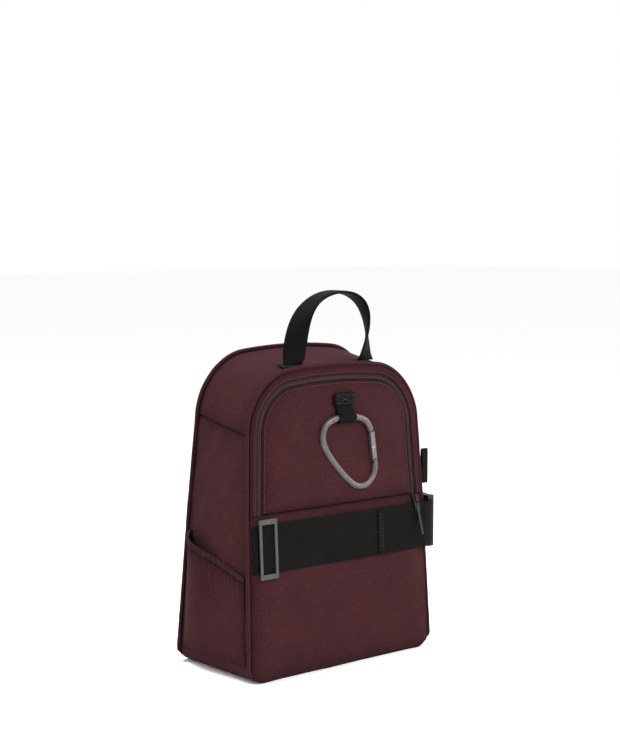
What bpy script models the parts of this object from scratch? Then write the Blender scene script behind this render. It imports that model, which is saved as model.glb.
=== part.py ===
"""A small travel backpack, as an assembly of its sewn panels, webbing, buckles, zip and carabiner.

Metres, +Z up, front face towards -Y. The origin is the middle of the underside of the base panel.
The shell's skin is addressed with from_front and from_back. k runs along the outline of the bag, from the
base's left corner (0) up the left side, over the top (5) and down to the base's right corner (10). depth
runs inwards from the front or the back face, and inset runs inwards from the outline.
"""
from math import acos, cos, pi, radians, sin

import bmesh
import bpy
from mathutils import Vector

MM = 0.001
GAP = 0.3 * MM

# Shell
HEIGHT = 335 * MM
FRONT_HEIGHT = 318 * MM
HALF_WIDTH_BASE = 129 * MM
HALF_WIDTH_FOLD = 124.5 * MM
HALF_WIDTH_TOP = 120 * MM
DEPTH_BASE = 134 * MM
FRONT_LEAN = 18 * MM / HEIGHT
BACK_LEAN = 32 * MM / HEIGHT
TOP_RADIUS = 56 * MM
BASE_RADIUS = 16 * MM
CROWN = 12 * MM
WALL = 3 * MM
BACK_Y = DEPTH_BASE / 2
FRONT_Y = -DEPTH_BASE / 2
FOLD_Z = 178 * MM
PIPING_RADIUS = 2 * MM

# Zip round the front flap, measured inwards from the outline of the front face
RIM_WIDTH = 9.4 * MM
ZIP_MIDDLE = 12.4 * MM
ZIP_BEAD = 2.4 * MM
BEAD_RISE = 0.4 * MM
ZIP_SPLIT = 0.2 * MM
TAPE_WIDTH = 8.6 * MM
TAPE_THICKNESS = 1 * MM
FLAP_INSET = 15.3 * MM

# Back pad and inner boards
PAD_THICKNESS = 10 * MM
PAD_INSET = 16 * MM
PAD_TOP = 288 * MM
PAD_FOOT = 1.28
BOARD = 1.6 * MM
SLEEVE_FOOT = 8 * MM
SLEEVE_TOP = 205 * MM
SLEEVE_HALF_WIDTH = 92 * MM
SLEEVE_DEPTH = 16 * MM

# Side pockets
POCKET_BULGE = 14 * MM
POCKET_SKEW = 2.5
POCKET_MARGIN = 9 * MM
POCKET_FRONT_Z = 112 * MM
POCKET_BACK_Z = 152 * MM
POCKET_CLOTH = 1.5 * MM
HEM_START = 0.94
HEM_THICKNESS = 2.2 * MM
HEM_UP = Vector((0, 0, 5 * MM))

# Webbing
WEB = 1.6 * MM
HANDLE_WIDTH = 25 * MM
HANDLE_FOOT_X = 52 * MM
HANDLE_RISE = 78 * MM
HANDLE_LEAN = 0.15
HANDLE_DEPTH = 8 * MM
HANDLE_LIFT = 4.6 * MM
HANDLE_SPREAD = 0.2
HANDLE_STEPS = 20
BAND_WIDTH = 52 * MM
BAND_Z = 142 * MM
BAND_LEFT_X = -117 * MM
BAND_LIFT = 2.8 * MM
# The band's knots in mm: across the front, then round the corner from the bag's edge and front face
BAND_KNOTS = (-116, -35, 45, 104)
BAND_CORNER = ((-8, -2.9), (3, -3.4), (11, -1.8), (17.5, 2.0), (20.4, 6.4))
BUCKLE_OUT = 21 * MM
BUCKLE_BACK = 22 * MM
PRONG_SPREAD = 17.0
# The webbing that holds the socket, in mm from its mouth: outwards and backwards
SOCKET_WEBBING = [(0.0, 40.6), (0.5, 50), (0.5, 60), (-2.0, 69), (-8.0, 77), (-15.5, 83)]
SLIDER_X = -104 * MM

# Carabiner and its tab
TAB_WIDTH = 24 * MM
TAB_X = 8 * MM
TAB_Q = 274 * MM
ROD_RADIUS = 3.6 * MM
LOOP_RADIUS = 5.4 * MM
LOOP_LIFT = 7 * MM
HANG_SLOPE = 0.03
GATE_HINGE = (41.0, -50.0)
GATE_TIP = (37.3, -19.0)

# Knots of the carabiner's rod in mm, across and up from the middle of its upper bar, ending at the gate's hinge
CARABINER_KNOTS = [(36.5, -17.5), (30, -6.5), (16, -0.6), (0, 0), (-16, -0.6), (-29, -6.5), (-34, -19),
                   (-29, -34), (-16, -51), (1, -68), (14, -76.5), (27, -77), (37, -70), (41.5, -60),
                   (41, -50)]
GATE_HALF_WIDTH = 3.0
GATE_HALF_DEPTH = 2.1
SLOT_HALF_DEPTH = 2.5
SLOT_LENGTH = (-4.2, 12.0)
PIN_RADIUS = 1.0 * MM
PIN_HOLE_RADIUS = 1.3 * MM

# Folded tab in the right seam
SIDE_LOOP_Z = 208 * MM
SIDE_LOOP_HEIGHT = 40 * MM
SIDE_LOOP_PLAN = [(0, -1.6), (6, -1.9), (10, 0), (6, 1.9), (0, 1.6),
                  (0, 0.8), (5.6, 1.1), (8.2, 0), (5.6, -1.1), (0, -0.8)]

# Zip slider: parked just below the fold, clear of the flap
SLIDER_REST_Z = 173.2 * MM
SLIDER_HALF_LENGTH = 4.2
PULL_LIFT = 4.2 * MM
PULL_ANGLE = 9 * pi / 180

# Shoulder straps
STRAP_THICKNESS = 10 * MM
STRAP_WEB_WIDTH = 24 * MM
STRAP_TOP = 306 * MM
STRAP_HINGE_X = 38 * MM
STRAP_HINGE_LIFT = 5 * MM
# The strap's middle line and widths in mm: across, up from its hinge, and out of the back
STRAP_KNOTS = [(38, 0, 6.5), (40, -5, 19), (44, -23, 31), (50, -50, 38), (56, -80, 41),
               (61, -110, 40), (66, -138, 36), (70, -164, 30)]
STRAP_WIDTHS = [34, 46, 50, 50, 49, 46, 42, 36]

UP = Vector((0, FRONT_LEAN, 1)).normalized()
OUT = Vector((0, -1, FRONT_LEAN)).normalized()
BACK_UP = Vector((0, -BACK_LEAN, 1)).normalized()
BACK_OUT = Vector((0, 1, BACK_LEAN)).normalized()
RIGHT = Vector((1, 0, 0))
BAND_Q = BAND_Z / UP.z


# ---------------------------------------------------------------- materials

def material(name, colour, roughness, metallic=0.0):
    made = bpy.data.materials.new(name)
    made.use_nodes = True
    shader = made.node_tree.nodes["Principled BSDF"]
    shader.inputs["Base Color"].default_value = (*colour, 1)
    shader.inputs["Roughness"].default_value = roughness
    shader.inputs["Metallic"].default_value = metallic
    return made


# ---------------------------------------------------------------- mesh helpers

def clear_scene():
    for obj in list(bpy.data.objects):
        bpy.data.objects.remove(obj, do_unlink=True)


def add_object(name, data, finish, origin=Vector()):
    obj = bpy.data.objects.new(name, data)
    obj.location = origin
    bpy.context.scene.collection.objects.link(obj)
    data.materials.append(finish)
    return obj


def build(name, points, faces, finish, origin=Vector()):
    """A closed mesh object from points and faces, its origin on the given point."""
    bm = bmesh.new()
    corners = [bm.verts.new(Vector(p) - origin) for p in points]
    for face in faces:
        bm.faces.new([corners[i] for i in face])
    bmesh.ops.recalc_face_normals(bm, faces=bm.faces)
    mesh = bpy.data.meshes.new(name)
    bm.to_mesh(mesh)
    bm.free()
    return add_object(name, mesh, finish, origin)


def loft(name, rings, finish, closed=False, origin=Vector()):
    """A solid through rings of equal length; its ends are capped unless the last ring meets the first."""
    size = len(rings[0])
    points = [p for ring in rings for p in ring]
    faces = []
    for i in range(len(rings) if closed else len(rings) - 1):
        a, b = i * size, (i + 1) % len(rings) * size
        for j in range(size):
            k = (j + 1) % size
            faces.append((a + j, a + k, b + k, b + j))
    if not closed:
        faces.append(tuple(range(size)))
        faces.append(tuple(range(len(points) - size, len(points))))
    return build(name, points, faces, finish, origin)


def slab(name, outline, thickness, finish, origin=Vector()):
    """A flat outline pushed out along a vector."""
    other = [Vector(p) + thickness for p in outline]
    return loft(name, [[Vector(p) for p in outline], other], finish, origin=origin)


def skin_solid(name, outer, inner, finish):
    """A sheet with thickness from two grids of points, joined round their rims."""
    rows, columns = len(outer), len(outer[0])
    points = [p for row in outer for p in row] + [p for row in inner for p in row]
    shift = rows * columns
    faces = []
    for r in range(rows - 1):
        for c in range(columns - 1):
            a = r * columns + c
            quad = (a, a + 1, a + columns + 1, a + columns)
            faces.append(quad)
            faces.append(tuple(i + shift for i in quad))
    rim = [c for c in range(columns)]
    rim += [r * columns + columns - 1 for r in range(1, rows)]
    rim += [(rows - 1) * columns + c for c in range(columns - 2, -1, -1)]
    rim += [r * columns for r in range(rows - 2, 0, -1)]
    for i, a in enumerate(rim):
        b = rim[(i + 1) % len(rim)]
        faces.append((a, b, b + shift, a + shift))
    return build(name, points, faces, finish)


def tube(name, path, radius, finish, sides=8, origin=Vector()):
    """A round rod along points, its rings carried from one to the next without twisting."""
    along = (path[1] - path[0]).normalized()
    side = along.orthogonal().normalized()
    rings = []
    for i, place in enumerate(path):
        along = (path[min(i + 1, len(path) - 1)] - path[max(i - 1, 0)]).normalized()
        side = (side - side.dot(along) * along).normalized()
        other = along.cross(side)
        turns = [2 * pi * j / sides for j in range(sides)]
        rings.append([place + radius * (cos(t) * side + sin(t) * other) for t in turns])
    return smooth(loft(name, rings, finish, origin=origin))


def smooth(obj):
    obj.data.shade_smooth()
    return obj


def smooth_path(points, steps, closed=False):
    """Points on a Catmull-Rom curve through the given ones."""
    count = len(points)
    found = []
    for i in range(count if closed else count - 1):
        if closed:
            a, b, c, d = (points[(i + j) % count] for j in (-1, 0, 1, 2))
        else:
            a, b = points[max(i - 1, 0)], points[i]
            c, d = points[i + 1], points[min(i + 2, count - 1)]
        for s in range(steps):
            t = s / steps
            found.append(0.5 * (2 * b + (c - a) * t + (2 * a - 5 * b + 4 * c - d) * t**2
                                + (3 * b - a - 3 * c + d) * t**3))
    return found if closed else found + [points[-1]]


def ribbon(name, path, width, thickness, finish, sides, origin=Vector()):
    """Flat webbing along a path. sides gives the wanted width direction at each point."""
    rings = []
    for i, place in enumerate(path):
        along = (path[min(i + 1, len(path) - 1)] - path[max(i - 1, 0)]).normalized()
        side = sides[i] - sides[i].dot(along) * along
        side = side.normalized() * width / 2
        normal = along.cross(side).normalized() * thickness / 2
        rings.append([place + side + normal, place - side + normal,
                      place - side - normal, place + side - normal])
    return loft(name, rings, finish, origin=origin)


def box(name, low, high, finish, origin=Vector()):
    (x0, y0, z0), (x1, y1, z1) = low, high
    outline = [(x0, y0, z0), (x1, y0, z0), (x1, y1, z0), (x0, y1, z0)]
    return slab(name, outline, Vector((0, 0, z1 - z0)), finish, origin)


def bevel(obj, width, segments=2):
    modifier = obj.modifiers.new("Bevel", "BEVEL")
    modifier.width = width
    modifier.segments = segments
    modifier.limit_method = "ANGLE"
    return obj


def boolean(obj, other, operation):
    """Joins or cuts with another object, which is then only a helper."""
    modifier = obj.modifiers.new("Boolean", "BOOLEAN")
    modifier.operation = operation
    modifier.object = other
    other.hide_render = True
    other.display_type = "WIRE"
    return obj


# ---------------------------------------------------------------- the shell's skin

def front_face_y(z):
    return FRONT_Y + FRONT_LEAN * z


def back_face_y(z):
    return BACK_Y - BACK_LEAN * z


def half_width_at(z):
    """Half the width of the front face, between the rounded corners."""
    if z < FOLD_Z:
        share = (z - BASE_RADIUS) / (FOLD_Z - BASE_RADIUS)
        return HALF_WIDTH_BASE + (HALF_WIDTH_FOLD - HALF_WIDTH_BASE) * share
    share = (z - FOLD_Z) / (FRONT_HEIGHT - TOP_RADIUS - FOLD_Z)
    return HALF_WIDTH_FOLD + (HALF_WIDTH_TOP - HALF_WIDTH_FOLD) * share


def outline_point(k, top_z):
    """(x, z) of the bag's outline seen from the front, for an outline of that height."""
    j = 10 - k if k > 5 else k
    corner_z = top_z - TOP_RADIUS
    if j <= 1:
        angle = j * pi / 2
        x = HALF_WIDTH_BASE - BASE_RADIUS + BASE_RADIUS * sin(angle)
        z = BASE_RADIUS * (1 - cos(angle))
    elif j <= 2:
        x = HALF_WIDTH_BASE + (HALF_WIDTH_FOLD - HALF_WIDTH_BASE) * (j - 1)
        z = BASE_RADIUS + (FOLD_Z - BASE_RADIUS) * (j - 1)
    elif j <= 3:
        x = HALF_WIDTH_FOLD + (HALF_WIDTH_TOP - HALF_WIDTH_FOLD) * (j - 2)
        z = FOLD_Z + (corner_z - FOLD_Z) * (j - 2)
    else:
        angle = min(j - 3, 1) * pi / 2
        x = HALF_WIDTH_TOP - TOP_RADIUS + TOP_RADIUS * cos(angle)
        if j > 4:
            x = (HALF_WIDTH_TOP - TOP_RADIUS) * (5 - j)
        z = corner_z + TOP_RADIUS * sin(angle) + CROWN * (1 - (x / HALF_WIDTH_TOP) ** 2)
    return Vector((x if k > 5 else -x, z))


def inset_point(k, top_z, inset):
    """outline_point moved inwards, square to the outline."""
    step = 0.01
    ahead = outline_point(min(k + step, 10), top_z)
    behind = outline_point(max(k - step, 0), top_z)
    along = (ahead - behind).normalized()
    return outline_point(k, top_z) + inset * Vector((along.y, -along.x))


def rib(k, inset):
    """The line from front to back at k: its front end and its back end."""
    x, z = inset_point(k, FRONT_HEIGHT, inset)
    front = Vector((x, front_face_y(z), z))
    x, z = inset_point(k, HEIGHT, inset)
    return front, Vector((x, back_face_y(z), z))


def from_front(k, depth, inset):
    front, back = rib(k, inset)
    return front.lerp(back, depth / (back.y - front.y))


def from_back(k, depth, inset):
    front, back = rib(k, inset)
    return back.lerp(front, depth / (back.y - front.y))


def stations(first, last, edge=0.002):
    """Values of k between two ends, closer together round the corners."""
    marks = [0, 0.33, 0.67, 1, 2, 3, 3.2, 3.4, 3.6, 3.8, 4, 4.5, 5]
    marks = sorted({*marks, *(10 - m for m in marks)})
    inner = [m for m in marks if first + 0.05 < m < last - 0.05]
    return [first + edge, *inner, last - edge]


def front_strip(name, ks, section, finish, origin=Vector()):
    """A strip along k whose section is a ring of (depth, inset) pairs measured from the front face."""
    return loft(name, [[from_front(k, d, i) for d, i in section] for k in ks], finish, origin=origin)


def on_front(x, q, n=0.0):
    """A point q up the front face from its foot and n out of it."""
    return Vector((x, FRONT_Y, 0)) + q * UP + n * OUT


def on_back(x, q, n=0.0):
    """A point q up the back face from its foot and n out of it."""
    return Vector((x, BACK_Y, 0)) + q * BACK_UP + n * BACK_OUT


# ---------------------------------------------------------------- panels

def back_plate(name, ks, inset, near, far, finish, top=2 * HEIGHT):
    """A plate lying along the back face between two distances out of it, where inwards is negative."""
    rings = []
    for n in (near, far):
        edge = [inset_point(k, HEIGHT, inset) for k in ks]
        rings.append([on_back(x, (min(z, top) - n * BACK_OUT.z) / BACK_UP.z, n) for x, z in edge])
    return loft(name, rings, finish)


def make_back(shell, foam, board):
    back_plate("back_panel", stations(0, 10, 0), 0, -WALL, 0, shell)
    inner = -WALL - GAP
    back_plate("frame_sheet", stations(0, 10, 0), 2 * WALL, inner - BOARD, inner, board)
    outline = stations(PAD_FOOT, 10 - PAD_FOOT, 0)
    pad = back_plate("back_pad", outline, PAD_INSET, GAP, GAP + PAD_THICKNESS, foam, PAD_TOP)
    bevel(pad, 3 * MM)


def make_walls(shell, board):
    """The gusset round the bag: two side panels with the rounded base corners, and the top panel."""
    def wall(name, ks):
        rings = []
        for k in ks:
            rings.append([from_front(k, WALL + GAP, 0), from_back(k, WALL + 2 * GAP, 0),
                          from_back(k, WALL + 2 * GAP, WALL), from_front(k, WALL + GAP, WALL)])
        return loft(name, rings, shell)

    left = [0.03, 0.33, 0.67, 1, 2, 3 - 0.003]
    wall("side_panel_left", left)
    wall("side_panel_right", [10 - k for k in left])
    wall("top_panel", stations(3, 7))

    half = HALF_WIDTH_BASE - BASE_RADIUS - GAP
    front, back = FRONT_Y + WALL + 2 * GAP, BACK_Y - WALL - 2 * GAP
    box("base_panel", (-half, front, 0), (half, back, WALL), shell)
    margin = 7 * MM
    bevel(box("base_board", (-half, front + margin, WALL + GAP),
              (half, back - margin, WALL + GAP + BOARD), board), 0.5 * MM, 1)


def fold_axis():
    return Vector((0, front_face_y(FOLD_Z), FOLD_Z))


def make_front(shell):
    """The lower panel, the rim round the opening and the flap that the zip closes."""
    low = [*stations(0, 2), *stations(8, 10)]
    loft("front_panel_lower", [[from_front(k, d, 0) for k in low] for d in (0, WALL)], shell)
    front_strip("front_rim", stations(2, 8), [(0, 0), (0, RIM_WIDTH), (WALL, RIM_WIDTH), (WALL, 0)], shell)
    rings = [[from_front(k, d, FLAP_INSET) for k in stations(2, 8, 0.004)] for d in (0, WALL)]
    loft("front_flap", rings, shell, origin=fold_axis())


def make_zip(tape):
    """Two L-shaped halves: a raised bead of teeth at the middle and a tape under each cloth edge."""
    under = WALL + GAP
    bottom = under + TAPE_THICKNESS
    halves = (("zip_half_shell", -1, 0.008, Vector()), ("zip_half_flap", 1, 0.013, fold_axis()))
    for name, way, edge, origin in halves:
        near = ZIP_MIDDLE + way * ZIP_SPLIT
        bead = near + way * ZIP_BEAD
        far = near + way * TAPE_WIDTH
        top = -BEAD_RISE
        section = [(top, near), (top, bead), (under, bead), (under, far), (bottom, far), (bottom, near)]
        front_strip(name, stations(2, 8, edge), section, tape, origin)


def make_piping(shell):
    out = -(PIPING_RADIUS + 2 * GAP)
    front = [from_front(k, PIPING_RADIUS, out) for k in stations(0.6, 9.4, 0)]
    back = [from_back(k, PIPING_RADIUS, out) for k in stations(0.6, 9.4, 0)]
    tube("piping_front", front, PIPING_RADIUS, shell, 6)
    tube("piping_back", back, PIPING_RADIUS, shell, 6)


def make_sleeve(lining):
    """A flat pocket inside the back: a channel in plan, standing on the base board."""
    x, t = SLEEVE_HALF_WIDTH, POCKET_CLOTH
    back = -WALL - 2 * GAP - BOARD
    front = back - SLEEVE_DEPTH
    plan = [(-x, back), (-x, front), (x, front), (x, back),
            (x - t, back), (x - t, front + t), (-x + t, front + t), (-x + t, back)]
    rings = [[on_back(px, q, n) for px, n in plan] for q in (SLEEVE_FOOT, SLEEVE_TOP)]
    loft("document_sleeve", rings, lining)


# ---------------------------------------------------------------- side pockets

def pocket_edge_z(v):
    """Height of the pocket's mouth, from the front seam (v 0) to the back seam (v 1)."""
    return POCKET_FRONT_Z + (POCKET_BACK_Z - POCKET_FRONT_Z) * v


def pocket_point(side, v, w, lift):
    """A point of the side pocket: v from front to back, w from foot to mouth, lift out of the cloth."""
    foot = BASE_RADIUS + 2 * MM
    z = foot + (pocket_edge_z(v) - foot) * w
    front = front_face_y(z) + POCKET_MARGIN
    back = back_face_y(z) - POCKET_MARGIN
    bulge = POCKET_BULGE * sin(pi * v**POCKET_SKEW) * w**0.5
    return Vector((side * (half_width_at(z) + 3 * GAP + bulge + lift), front + (back - front) * v, z))


def make_pockets(shell, trim):
    across = [i / 8 for i in range(9)]
    upwards = [0, 0.25, 0.5, 0.75, 1]
    for side, word in ((-1, "left"), (1, "right")):
        grids = [[[pocket_point(side, v, w * HEM_START, lift) for v in across] for w in upwards]
                 for lift in (POCKET_CLOTH, 0)]
        skin_solid(f"side_pocket_{word}", *grids, shell)
        rings = []
        for v in across:
            foot = pocket_point(side, v, HEM_START, 0) + Vector((0, 0, GAP))
            out = Vector((side, 0, 0))
            rings.append([foot - GAP * out, foot + HEM_THICKNESS * out,
                          foot + HEM_THICKNESS * out + HEM_UP, foot - GAP * out + HEM_UP])
        loft(f"pocket_hem_{word}", rings, trim)


# ---------------------------------------------------------------- handle

def over_top(x, depth, lift):
    """A point above the top panel, at a distance across from the middle of the bag."""
    flat = HALF_WIDTH_TOP - TOP_RADIUS
    if abs(x) <= flat:
        k = 4 + (flat - abs(x)) / flat
    else:
        k = 3 + acos((abs(x) - flat) / TOP_RADIUS) / (pi / 2)
    return from_front(k if x < 0 else 10 - k, depth, -lift)


def handle_axis():
    """Middle of the line through the handle's feet."""
    foot = over_top(HANDLE_FOOT_X, HANDLE_DEPTH, HANDLE_LIFT)
    return Vector((0, foot.y, foot.z))


def make_handle(webbing):
    axis = handle_axis()
    path, sides = [], []
    for i in range(HANDLE_STEPS + 1):
        angle = pi * (1 - i / HANDLE_STEPS)
        height = HANDLE_RISE * sin(angle) ** 0.75
        x = HANDLE_FOOT_X * cos(angle) * (1 + HANDLE_SPREAD * sin(angle) ** 2)
        path.append(axis + Vector((x, -HANDLE_LEAN * height, height)))
        rise = (height / HANDLE_RISE) ** 0.6
        twist = pi / 2 * (rise if angle > pi / 2 else 2 - rise)
        sides.append(Vector((cos(twist), -sin(twist), 0)))
    ribbon("top_handle", path, HANDLE_WIDTH, 2 * WEB, webbing, sides, axis)
    for side, word in ((-1, "left"), (1, "right")):
        rings = []
        for dx in (-12 * MM, 12 * MM):
            ends = (HANDLE_DEPTH - 2 * MM, HANDLE_DEPTH + 12 * MM)
            low, high = ([over_top(side * (HANDLE_FOOT_X + dx), d, lift) for d in ends]
                         for lift in (2 * GAP, 2 * GAP + WEB / 2))
            rings.append([low[0], low[1], high[1], high[0]])
        loft(f"handle_patch_{word}", rings, webbing)


# ---------------------------------------------------------------- front band with its slider and buckle

def band_path():
    """The band from its left anchor across the front and round the right corner to the buckle."""
    points = [on_front(x * MM, BAND_Q, BAND_LIFT) for x in BAND_KNOTS]
    edge = half_width_at(BAND_Z)
    for x, dy in BAND_CORNER:
        points.append(Vector((edge + x * MM, front_face_y(BAND_Z) + dy * MM, BAND_Z)))
    return points


def band_hinge():
    return on_front(BAND_LEFT_X, BAND_Q, BAND_LIFT)


def lean_with_front(path):
    """Width directions for webbing on the front: up the leaning face, upright past the corner."""
    edge = half_width_at(BAND_Z)
    return [UP if p.x < edge + 5 * MM else Vector((0, 0, 1)) for p in path]


def front_plate(name, xs, qs, ns, finish, origin=Vector()):
    """A plate lying parallel to the front face; its spans along x, q and n are in mm."""
    (x0, x1), (q0, q1), (n0, n1) = xs, qs, ns
    corners = [on_front(x * MM, q * MM, n0 * MM) for x, q in ((x0, q0), (x1, q0), (x1, q1), (x0, q1))]
    return slab(name, corners, (n1 - n0) * MM * OUT, finish, origin)


def make_band(webbing, metal):
    path = band_path()
    ribbon("front_band", path, BAND_WIDTH, WEB, webbing, lean_with_front(path), band_hinge())

    q = BAND_Q / MM
    x = SLIDER_X / MM
    frame = front_plate("band_slider", (x - 12, x + 12), (q - 32, q + 32), (0.5, 5.2), metal,
                        on_front(SLIDER_X, BAND_Q, BAND_LIFT))
    cuts = [front_plate("slider_channel", (x - 20, x + 20), (q - 26.6, q + 26.6), (1.7, 3.9), metal),
            front_plate("slider_window", (x - 8.6, x + 8.6), (q - 26.6, q + 26.6), (2.5, 8), metal),
            front_plate("slider_relief_near", (x - 20, x - 3), (q - 26.6, q + 26.6), (-2, 2.5), metal),
            front_plate("slider_relief_far", (x + 3, x + 20), (q - 26.6, q + 26.6), (-2, 2.5), metal)]
    for cut in cuts:
        boolean(frame, cut, "DIFFERENCE")

    x = BAND_LEFT_X / MM - 0.6
    front_plate("band_anchor_left", (x - 5, x), (q - 26, q + 26), (0.6, 2.8), webbing)


def buckle_mouth():
    """Middle of the socket's mouth. The buckle runs backwards from it, with its thickness outwards."""
    edge = half_width_at(BAND_Z)
    mouth = Vector((edge + BUCKLE_OUT, front_face_y(BAND_Z) + BUCKLE_BACK, BAND_Z))
    return mouth


def buckle_box(name, along, up, out, finish, origin=Vector()):
    mouth = buckle_mouth()
    low = mouth + Vector((out[0], along[0], up[0])) * MM
    high = mouth + Vector((out[1], along[1], up[1])) * MM
    return box(name, low, high, finish, origin)


def make_buckle(plastic, webbing):
    """A side-release buckle: the base with its guide, two sprung prongs, and the socket they enter."""
    socket = buckle_box("buckle_socket", (0, 40), (-30, 30), (-6.5, 6.5), plastic)
    boolean(socket, buckle_box("socket_room", (-5, 33), (-25.5, 25.5), (-4.7, 4.7), plastic), "DIFFERENCE")
    boolean(socket, buckle_box("socket_sides", (-5, 26), (-35, 35), (-3.6, 3.6), plastic), "DIFFERENCE")
    boolean(socket, buckle_box("socket_slot", (35, 37.6), (-26.5, 26.5), (-10, 10), plastic), "DIFFERENCE")

    base = buckle_box("buckle_base", (-15, -1), (-30, 30), (-5, 4), plastic, band_hinge())
    guide = buckle_box("base_guide", (-2, 27), (-4, 4), (-3.6, -0.4), plastic)
    boolean(base, guide, "UNION")
    boolean(base, buckle_box("base_slot", (-12, -9.2), (-26.5, 26.5), (-10, 10), plastic), "DIFFERENCE")

    for side, word in ((-1, "lower"), (1, "upper")):
        root = buckle_mouth() + Vector((-2.0, -0.5, side * PRONG_SPREAD)) * MM
        heights = [(14, 19), (14, 19), (16, 27), (20, 27), (20, 24)]
        lengths = [-0.5, 12, 18, 23, 26]
        rings = []
        for along, (inner, outer) in zip(lengths, heights):
            ring = [(-3.6, inner), (-0.4, inner), (-0.4, outer), (-3.6, outer)]
            rings.append([buckle_mouth() + Vector((out, along, side * up)) * MM for out, up in ring])
        loft(f"buckle_prong_{word}", rings, plastic, origin=root)

    path = [buckle_mouth() + Vector((out, along, 0)) * MM for out, along in SOCKET_WEBBING]
    ribbon("band_anchor_right", path, BAND_WIDTH, WEB, webbing, [Vector((0, 0, 1))] * len(path))


# ---------------------------------------------------------------- carabiner on its tab

def tab_pivot():
    """Middle of the webbing loop that the carabiner hangs in."""
    return on_front(TAB_X, TAB_Q, LOOP_LIFT)


def make_tab(webbing):
    x, q = TAB_X / MM, TAB_Q / MM
    front_plate("tab_patch", (x - 14, x + 14), (q + 14, q + 27), (4.4, 6.0), webbing, fold_axis())
    path = [on_front(TAB_X, TAB_Q + 24 * MM, 1.6 * MM), on_front(TAB_X, TAB_Q + 8 * MM, 1.6 * MM)]
    for i in range(9):
        angle = radians(-75 - 26 * i)
        out = LOOP_LIFT + LOOP_RADIUS * sin(angle)
        path.append(on_front(TAB_X, TAB_Q + LOOP_RADIUS * cos(angle), out))
    path += [on_front(TAB_X, TAB_Q + 8 * MM, 6.6 * MM), on_front(TAB_X, TAB_Q + 12 * MM, 3.4 * MM),
             on_front(TAB_X, TAB_Q + 24 * MM, 3.4 * MM)]
    ribbon("carabiner_tab", path, TAB_WIDTH, 1.2 * MM, webbing, [RIGHT] * len(path), fold_axis())


def hang(x, y, n=0.0):
    """A point of the carabiner, in mm: x across, y up and n out from the middle of its upper bar."""
    return tab_pivot() + MM * (x * RIGHT + y * UP + (n + y * HANG_SLOPE) * OUT)


def make_carabiner(metal, steel):
    path = smooth_path([hang(x, y) for x, y in CARABINER_KNOTS], 3)
    body = tube("carabiner_body", path, ROD_RADIUS, metal, origin=tab_pivot())
    hinge = Vector(GATE_HINGE)
    tip = Vector(GATE_TIP)
    along = (tip - hinge).normalized()
    across = Vector((along.y, -along.x))

    def outline(first, last, half, depth):
        corners = [hinge + along * first + across * half, hinge + along * last + across * half,
                   hinge + along * last - across * half, hinge + along * first - across * half]
        return [hang(c.x, c.y, -depth) for c in corners]

    def rounded(radius, last, depth):
        corners = []
        for i in range(7):
            angle = pi * i / 6
            corners.append(hinge - along * radius * sin(angle) + across * radius * cos(angle))
        corners += [hinge + along * last - across * radius, hinge + along * last + across * radius]
        return [hang(c.x, c.y, -depth) for c in corners]

    normal = (hang(0, 0, 1) - hang(0, 0)).normalized()
    slot = slab("gate_slot", outline(*SLOT_LENGTH, 12, SLOT_HALF_DEPTH),
                2 * SLOT_HALF_DEPTH * MM * normal, steel)
    boolean(body, slot, "DIFFERENCE")
    length = (tip - hinge).length
    root = hang(hinge.x, hinge.y)
    gate = slab("carabiner_gate", rounded(GATE_HALF_WIDTH, length, GATE_HALF_DEPTH),
                2 * GATE_HALF_DEPTH * MM * normal, steel, root)
    tube("gate_pin", [hang(hinge.x, hinge.y, -3.3), hang(hinge.x, hinge.y, 3.3)], PIN_RADIUS, steel)
    for target in (body, gate):
        hole = tube("pin_hole_" + target.name, [hang(hinge.x, hinge.y, -8), hang(hinge.x, hinge.y, 8)],
                    PIN_HOLE_RADIUS, steel)
        boolean(target, hole, "DIFFERENCE")


def make_side_loop(webbing):
    """A folded tab in the right-hand seam, above the band."""
    edge = half_width_at(SIDE_LOOP_Z - SIDE_LOOP_HEIGHT / 2) + 2 * PIPING_RADIUS + 3 * GAP
    y = front_face_y(SIDE_LOOP_Z) + PIPING_RADIUS
    half = SIDE_LOOP_HEIGHT / 2
    rings = [[Vector((edge + x * MM, y + dy * MM, SIDE_LOOP_Z + dz)) for x, dy in SIDE_LOOP_PLAN]
             for dz in (-half, half)]
    loft("side_loop", rings, webbing)


# ---------------------------------------------------------------- zip slider

def zip_axes():
    """Place of the slider on the right side, with its directions along the zip, across it and outwards."""
    low, high = (from_front(k, 0, ZIP_MIDDLE) for k in (7.9, 7.2))
    along = (high - low).normalized()
    place = low - along * (low.z - SLIDER_REST_Z) / along.z
    across = OUT.cross(along).normalized()
    return place, along, across, OUT


def zip_block(name, spans, finish, origin):
    """A block on the zip slider's axes; its spans along, across and outwards are in mm."""
    place, along, across, out = zip_axes()
    (a0, a1), (c0, c1), (n0, n1) = spans
    corners = [place + MM * (a * along + c * across + n0 * out)
               for a, c in ((a0, c0), (a1, c0), (a1, c1), (a0, c1))]
    return slab(name, corners, (n1 - n0) * MM * out, finish, origin)


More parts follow.
